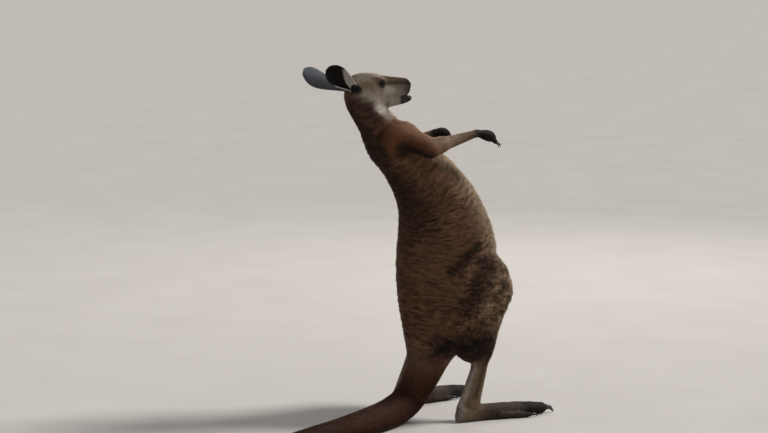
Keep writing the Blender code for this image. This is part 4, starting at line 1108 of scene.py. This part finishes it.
def pale_floor():
    """Studio board: matt, pale and faintly mottled."""
    made, tree = blank("studio_board", Specular_IOR_Level=0.2, Roughness=0.85)
    place = add(tree, "ShaderNodeTexCoord", out="Object")
    cloud = add(tree, NOISE, Vector=place, Scale=3.0, Detail=4.0)
    colour = add(tree, MIX, data_type="RGBA", Factor_Float=cloud, A_Color=linear("#b5afa8"),
                 B_Color=linear("#c2bcb5"))
    return wired(made, Base_Color=colour)


# ---- where things stand
SIDES = {"right": -1, "left": 1}
EYES = [from_head(EYE_AT, side) for side in SIDES.values()]
STANDS = np.mean([list(c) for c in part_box("eye_right")], axis=0) - EYES[0]
STANDS[2] = 0.0  # from the shape functions' origin to the frame's
FLESH = [n for n in frame["nodes"] if not n.startswith(("eye_", "claw_"))]
BODY = next(iter(frame["bodies"]))
tones = tone_group()
FUR, SKIN, HORN, EYE = fur(tones), bare_skin(tones), horn(), wet_eye()


def finished(piece, slot, *stands_for):
    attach(piece, BODY)
    if stands_for:
        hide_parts(*stands_for)


def hold(thing, name, values, kind="FLOAT", domain="POINT"):
    """Stores an attribute on an object's mesh."""
    layer = thing.data.attributes.new(name, kind, domain)
    values = np.ascontiguousarray(values, np.int32 if kind == "INT" else np.float32)
    layer.data.foreach_set("vector" if kind == "FLOAT_VECTOR" else "value", values.ravel())


# ---- skin
CELL = 0.0056  # of the mesh, before the finer places
SKIN_BOX = (-0.8, -0.4, -0.03), (0.38, 0.28, 1.1)
SOLE = 0.0006  # height of the lowest skin over the floor
EAR_PHASE = 0.13  # length that the coat runs along an ear
PIECE_FROM = (("waist", 0.6), ("hips", 0.42))  # heights where the trunk's second and third pieces begin


def finer_places():
    """Middle and reach of each place whose faces are halved: face, muzzle, eyes, hands twice, toes."""
    return [(from_head((0.01, 0, -0.02)), 0.135), (from_head((0.075, 0, -0.028)), 0.052),
            *((eye, 0.026) for eye in EYES),
            *[(np.array(arm["palm"]) + palm_axes(arm)[0] * 0.012, 0.048) for arm in ARMS.values()] * 2,
            *((from_foot((0.245, 0.008, 0.015), leg), 0.072) for leg in LEGS.values())]


def coat_values(points, rise, shares, phase):
    """What the tufts are grown with: their length, breadth, number, lift, waviness and phase."""
    columns = ("long", 1, 0.001), ("wide", 2, 0.0005), ("dense", 3, 10000.0), ("lift", 4, 0.001)
    values = {name: sum(share * KINDS[kind][k] for kind, share in shares.items()) * scale
              for name, k, scale in columns}
    values["lift"] *= 1 - 0.9 * (step_up(-points[:, 2], -0.012, -0.001) * step_up(-rise[:, 2], 0.2, 0.8))
    to_eye = np.min([np.linalg.norm(points - eye, axis=1) for eye in EYES], axis=0)
    values["dense"] *= to_eye > EYE_RADIUS + 0.0006
    values["long"] *= 0.45 + 0.55 * step_up(to_eye, 0.014, 0.03)
    values["wavy"] = shares["trunk"] + shares["thigh"] + 0.6 * shares["neck"] + 0.3 * shares["tail"]
    values["wavy"] = np.clip(values["wavy"], 0, 1)
    values["phase"] = phase + (down_the_trunk(points) - phase) * (values["wavy"] > 0.3)
    nose = (points - HEAD_AT) @ HEAD_AXES.T  # its pad is bare
    values["dense"] *= 1 - 0.95 * spot(nose, (0.0935, -0.009, -0.008), (0.0935, 0.009, -0.008), 0.006, 0.003)
    return values


def piece_numbers(points, shares):
    """Number of the piece of coat that each point belongs to."""
    belongs = np.array([PIECES.index(KINDS[k][0]) for k in shares])[np.argmax(list(shares.values()), axis=0)]
    for name, below in PIECE_FROM:
        trunk = np.isin(belongs, [PIECES.index("trunk"), PIECES.index("waist")])
        belongs[trunk & (points[:, 2] < below)] = PIECES.index(name)
    return belongs


def unwrapped(thing):
    """Unwraps the skin: the tufts take their places from this."""
    thing.data.uv_layers.new(name="OFBake")
    bpy.context.view_layer.objects.active = thing
    thing.select_set(True)
    bpy.ops.object.mode_set(mode="EDIT")
    bpy.ops.mesh.select_all(action="SELECT")
    bpy.ops.uv.smart_project(angle_limit=math.radians(66), island_margin=0.002)
    bpy.ops.object.mode_set(mode="OBJECT")


points, quads = surface(skin_form, *SKIN_BOX, CELL)
faces = quads.tolist()
for centre, reach in finer_places():
    points, faces = refined(points, faces, lambda p: np.linalg.norm(p - centre, axis=1) < reach)
points = onto(skin_form, points)
points[:, 2] = np.maximum(points[:, 2], SOLE)
lie, phase, shares = coat_at(points)
ears = []
for ear in EARS.values():
    more, ear_faces, way, along, across = ear_shell(ear)
    ears.append((slice(len(points), len(points) + len(more)), along, across * -np.sign(ear["root"][1])))
    faces += (ear_faces + len(points)).tolist()
    points, lie = np.vstack([points, more]), np.vstack([lie, np.tile(way, (len(more), 1))])
    phase = np.concatenate([phase, along * EAR_PHASE])
    shares = {k: np.concatenate([v, np.full(len(more), float(k == "ear"))]) for k, v in shares.items()}
skin = mesh_object("skin", points + STANDS, faces, SKIN)
rise = np.empty(len(points) * 3, np.float32)
skin.data.vertices.foreach_get("normal", rise)
rise = rise.reshape(-1, 3).astype(float)
lie = lie - (lie * rise).sum(1, keepdims=True) * rise
lie /= np.maximum(np.linalg.norm(lie, axis=1, keepdims=True), 1e-6)
marks = markings_and_painted_light(points, rise, shares)
for ear in ears:
    ear_markings_and_painted_light(marks, *ear)
for name, value in marks.items():
    hold(skin, name, np.clip(value, 0, 1))
hold(skin, "mat", matting(points))
for name, value in coat_values(points, rise, shares, phase).items():
    hold(skin, "grow_" + name, value)
hold(skin, "grow_lie", lie, "FLOAT_VECTOR")
hold(skin, "grow_rise", rise, "FLOAT_VECTOR")
first = np.array([f.vertices[0] for f in skin.data.polygons])
hold(skin, "piece", piece_numbers(points, shares)[first], "INT", "FACE")
unwrapped(skin)

# ---- coat
COATS = [  # piece, share of the tufts, how flat they are, how far they swing, how they gather in locks, slot
    ("head", 1.5, 0.45, 0.22, 0.12, "head"), ("ears", 0.9, 0.45, 0.2, 0.1, "ear_right"),
    ("neck", 1.0, 0.42, 0.18, 0.25, "neck"), ("arms", 1.0, 0.42, 0.2, 0.22, "forearm_right"),
    ("hands", 1.6, 0.45, 0.25, 0.15, "hand_right"), ("trunk", 1.0, 0.4, 0.2, 0.3, "chest"),
    ("waist", 1.0, 0.4, 0.2, 0.3, "belly"), ("hips", 1.0, 0.4, 0.2, 0.34, "belly"),
    ("thigh", 1.0, 0.4, 0.2, 0.36, "thigh_right"), ("tail", 0.85, 0.4, 0.18, 0.22, "tail_root"),
    ("shins", 1.0, 0.42, 0.18, 0.15, "shin_right"), ("feet", 0.8, 0.45, 0.2, 0.12, "foot_right"),
]
tree = tuft_tree()
for name, density, flat, swing, locks, slot in COATS:
    number = PIECES.index(name)
    coat = grown(tree, skin, "coat_" + name, Piece=number, Seed=11 + number, Density=density,
                 Flatness=flat, Swing=swing, Locks=locks, Material=FUR)
    finished(coat, "coat_" + slot)
for name in [a.name for a in skin.data.attributes if a.name.startswith("grow_")]:
    skin.data.attributes.remove(skin.data.attributes[name])
finished(skin, "coat_belly", *FLESH)


# ---- round bodies
def ring_faces(rows, sides, closed=False):
    """Quads between neighbouring rings of points; closed joins the last ring to the first."""
    k, i = np.meshgrid(np.arange(rows if closed else rows - 1), np.arange(sides), indexing="ij")
    here, after, beside = k * sides, (k + 1) % rows * sides, (i + 1) % sides
    return np.stack([here + i, here + beside, after + beside, after + i], -1).reshape(-1, 4).tolist()


def swept(path, radii, sides, across, squash=1.0):
    """Points and faces of a closed round body along a path, flattened along across by squash."""
    path, points = np.asarray(path, float), []
    turn = np.arange(sides) * 2 * math.pi / sides
    for at, way, r in zip(path, np.gradient(path, axis=0), radii):
        way = unit(way)
        w = unit(np.asarray(across) - np.dot(across, way) * way)
        v = np.cross(way, w)
        points += list(at + r * (np.cos(turn)[:, None] * w * squash + np.sin(turn)[:, None] * v))
    last = (len(path) - 1) * sides
    ends = [[(i + 1) % sides, i, last + sides] for i in range(sides)]
    ends += [[last + i, last + (i + 1) % sides, last + sides + 1] for i in range(sides)]
    return np.array([*points, path[0], path[-1]]), ring_faces(len(path), sides) + ends


def outwards(thing, merge=None):
    """Turns a mesh's faces outwards, once points nearer than merge are joined."""
    work = bmesh.new()
    work.from_mesh(thing.data)
    if merge:
        bmesh.ops.remove_doubles(work, verts=work.verts[:], dist=merge)
    bmesh.ops.recalc_face_normals(work, faces=work.faces[:])
    work.to_mesh(thing.data)
    work.free()
    return thing


def solid(name, parts, material):
    """One object from several closed bodies."""
    points, faces = [], []
    for more, more_faces in parts:
        faces += [[v + len(points) for v in f] for f in more_faces]
        points += list(more)
    return outwards(mesh_object(name, points, faces, material))


# ---- eyes and lids
BALL_ROWS, BALL_TURNS = 40, 64
CORNEA, CORNEA_ANGLE = 0.045, 0.62  # how far it stands proud, and how wide it is
IRIS_ANGLE = 0.86
RIM_TURNS, RIM_SIDES, LASHES = 72, 10, 17


def head_place(q, side):
    return from_head(q, side) + STANDS


def past_lids(turn):
    """The way from the eye's middle to the edge of the lids' opening."""
    a, b = almond(turn)
    return unit(EYE_GAZE + math.tan(a) * EYE_LONG + math.tan(b) * EYE_UP)


def eyeball(label, side):
    """The wet ball, with the rings of its colours held as an attribute."""
    gaze, long, up = (HEAD_AXES.T @ (v * [1, side, 1]) for v in (EYE_GAZE, EYE_LONG, EYE_UP))
    points, rings = [], []
    for angle in (math.pi * k / BALL_ROWS for k in range(BALL_ROWS + 1)):
        radius = (EYE_RADIUS - 0.0004) * (1 + CORNEA * math.exp(-(angle / CORNEA_ANGLE) ** 2) - CORNEA)
        for turn in (2 * math.pi * i / BALL_TURNS for i in range(BALL_TURNS)):
            aside = math.cos(turn) * long + math.sin(turn) * up
            way = math.cos(angle) * gaze + math.sin(angle) * aside
            points.append(head_place(EYE_AT, side) + radius * way)
            oval = math.hypot(math.cos(turn) * 0.86, math.sin(turn) * 1.16)
            rings.append(angle / IRIS_ANGLE * (oval + (1 - oval) * min(angle / IRIS_ANGLE, 1)))
    ball_mesh = mesh_object(f"eye_{label}_ball", points, ring_faces(BALL_ROWS + 1, BALL_TURNS), EYE)
    hold(ball_mesh, "ring", np.clip(rings, 0, 1))
    finished(outwards(ball_mesh, 1e-6), "wet_eye_" + label, "eye_" + label)


def lid_rim(side):
    """Points and faces of the thick edge round the opening, thicker above."""
    turns = np.linspace(0, 2 * math.pi, RIM_TURNS + 1)[:-1]
    loop = [np.array(EYE_AT) + past_lids(t) * (EYE_RADIUS + 0.0007) for t in turns]
    loop = np.array([head_place(q, side) for q in loop])
    points = []
    for at, way, t in zip(loop, np.roll(loop, -1, 0) - np.roll(loop, 1, 0), turns):
        w = unit(at - head_place(EYE_AT, side))
        v = unit(np.cross(way, w))
        r = 0.0011 + 0.0004 * max(math.sin(t), 0)
        around = np.arange(RIM_SIDES) * 2 * math.pi / RIM_SIDES
        points += [at + r * (math.cos(k) * w + math.sin(k) * v * 1.2) for k in around]
    return points, ring_faces(RIM_TURNS, RIM_SIDES, closed=True)


def lash(k, side):
    """One lash of the upper lid."""
    way = past_lids(0.45 + 2.2 * k / (LASHES - 1))
    root = np.array(EYE_AT) + way * (EYE_RADIUS + 0.0012)
    tip = root + way * 0.004 + EYE_UP * 0.0045 - EYE_LONG * (0.0012 + 0.001 * (k % 3))
    path = [root, root * 0.5 + tip * 0.5 + way * 0.0008, tip]
    return swept([head_place(p, side) for p in path], (0.0003, 0.00022, 0.00006), 5, (0, 0, 1))


for label, side in SIDES.items():
    eyeball(label, side)
    lid = solid("lids_" + label, [lid_rim(side), *(lash(k, side) for k in range(LASHES))], SKIN)
    for name in ("ash", "pale", "rust", "umber", "dark"):
        hold(lid, name, np.full(len(lid.data.vertices), 0.95 if name == "dark" else 0.0))
    finished(lid, "coat_head")

# ---- whiskers and claws
WHISKERS = [  # place in the head's frame, way it grows, length: lips and cheek, chin, brow
    (0.082, 0.019, -0.022, (0.25, 1.0, -0.1), 0.034), (0.074, 0.0215, -0.026, (0.1, 1.0, -0.25), 0.04),
    (0.066, 0.0235, -0.021, (-0.05, 1.0, -0.05), 0.042), (0.06, 0.0245, -0.03, (-0.2, 1.0, -0.4), 0.044),
    (0.052, 0.0265, -0.024, (-0.35, 1.0, -0.15), 0.042), (0.044, 0.0285, -0.032, (-0.5, 1.0, -0.45), 0.036),
    (0.07, 0.017, -0.05, (0.1, 0.8, -0.8), 0.022), (0.058, 0.019, -0.055, (-0.1, 0.8, -0.8), 0.024),
    (0.004, 0.0335, 0.0195, (0.1, 0.7, 0.7), 0.026), (-0.006, 0.035, 0.019, (-0.2, 0.7, 0.7), 0.03),
]
TOE_CLAWS = {"big": (0.026, 0.003), "outer": (0.017, 0.0016), "inner": (0.013, 0.0026)}  # length, gap


def whisker(k, side):
    """A stiff hair that sags and trails a little towards its tip."""
    x, y, z, out, size = WHISKERS[k]
    way = HEAD_AXES.T @ (unit(out) * [1, side, 1])
    root = onto(skin_form, from_head(np.array([[x, side * y, z]])), 6, 0.004)[0] + STANDS - way * 0.0015
    lag = HEAD_AXES.T @ np.array([-1.0, 0, -0.25]) * size * (0.3 + 0.05 * (k % 3))
    path = [root + way * size * t + lag * t * t for t in np.linspace(0, 1, 7)]
    return swept(path, np.linspace(0.0003, 0.00007, 7), 5, (0, 0, 1))


def horn_claw(base, tip, droop, radius, rings=18, sides=16):
    """A curved claw: deep and ridged above, flatter below, blunt at its worn tip."""
    base, tip, droop = (np.asarray(v, float) for v in (base, tip, droop))
    size = np.linalg.norm(tip - base)
    share = np.linspace(-0.28, 1, rings)
    path = [base + (tip - base) * t - droop * (4 * t * (1 - t)) * 0.16 * size for t in share]
    radii = [radius * max(1 - max(t, 0), 0.0) ** 0.62 * (1 if t > -0.2 else 0.8) + 0.00012 for t in share]
    return swept(path, radii, sides, np.cross(tip - base, droop), 0.8)


def toe_claw(leg, toe, size, gap):
    knuckle, end, thick = toe[1], np.array(toe[2]), toe[5]
    ahead = unit(end - knuckle)
    start = end + ahead * (thick + gap) + [0, 0, 0.0015]
    finish = start + ahead * (size - 0.002) + [0, 0, 0.0022 - start[2]]
    base, tip = (from_foot(q, leg) + STANDS for q in (start, finish))
    return horn_claw(base, tip, (0, 0, -1), thick * 0.5)


for label, side in SIDES.items():
    hairs = [whisker(k, side) for k in range(len(WHISKERS))]
    finished(solid("whiskers_" + label, hairs, HORN), "coat_head")
for label, leg in LEGS.items():
    for toe, (name, (size, gap)) in zip(TOES, TOE_CLAWS.items()):
        claws = [toe_claw(leg, toe, size, gap)]
        if name == "inner":  # the joined second and third toes end in two fine claws
            points, faces = claws[0]
            shifts = [from_foot((0, k, 0), dict(leg, heel=(0, 0))) for k in (-0.0026, 0.0026)]
            claws = [(points + shift, faces) for shift in shifts]
        horn_piece = solid(f"claw_{name}_{label}_horn", claws, HORN)
        finished(horn_piece, f"horn_claw_{name}_{label}", f"claw_{name}_{label}")
for label, arm in ARMS.items():
    down, claws = palm_axes(arm)[2] * -1, []
    for root, end in fingers(arm):
        ahead, start = unit(end - root), end + STANDS
        base, tip = start + ahead * 0.001, start + ahead * 0.0135 + down * 0.006
        claws.append(horn_claw(base, tip, down, 0.0027, 12, 10))
    finished(solid(f"hand_claws_{label}", claws, HORN), f"coat_hand_{label}")

# ---- floor, light and camera
FLOOR_REACH, FLOOR_CORNERS = 90, 64
MIDDLE = Vector((0.15, 0.0, 0.55))
SEEN_FROM, AIM = Vector((-2.644, -5.938, 1.45)), Vector((-0.174, 0.079, 0.606))
FOCAL, SENSOR, FAR_CLIP = 102.48, 36.0, 60.0  # mm, mm, m
DAYLIGHT, DAYLIGHT_SPREAD = 3.2, math.radians(16)
RIM_SIZE, RIM_POWER = 2.0, 40
ROOM, ROOM_LIGHT = "#c4c6c8", 0.6


def aimed(name, data, place, at):
    thing = bpy.data.objects.new(name, data)
    bpy.context.collection.objects.link(thing)
    thing.location = place
    thing.rotation_euler = (Vector(at) - Vector(place)).to_track_quat("-Z", "Y").to_euler()
    return thing


corners = [k * 2 * math.pi / FLOOR_CORNERS for k in range(FLOOR_CORNERS)]
edge = [(FLOOR_REACH * math.cos(a), FLOOR_REACH * math.sin(a), 0) for a in corners]
floor = mesh_object("floor", edge, [range(FLOOR_CORNERS)], pale_floor())
sky_gap = bpy.data.lights.new("sky_gap", "SUN")  # broad daylight from ahead and above
sky_gap.energy, sky_gap.angle = DAYLIGHT, DAYLIGHT_SPREAD
aimed("sky_gap", sky_gap, MIDDLE + Vector((3.0, -0.7, 3.1)), MIDDLE)
rim = bpy.data.lights.new("rim", "AREA")
rim.size, rim.energy = RIM_SIZE, RIM_POWER
aimed("rim", rim, (2.4, 2.8, 2.6), MIDDLE)
world = bpy.data.worlds.new("soft_room")
world.use_nodes = True
world.node_tree.nodes["Background"].inputs[0].default_value = linear(ROOM)
world.node_tree.nodes["Background"].inputs[1].default_value = ROOM_LIGHT
scene = bpy.context.scene
scene.world = world
scene.view_settings.view_transform = "Standard"
lens = bpy.data.cameras.new("view")
lens.sensor_width, lens.lens, lens.clip_end = SENSOR, FOCAL, FAR_CLIP
scene.camera = aimed("view", lens, SEEN_FROM + Vector(STANDS), AIM + Vector(STANDS))
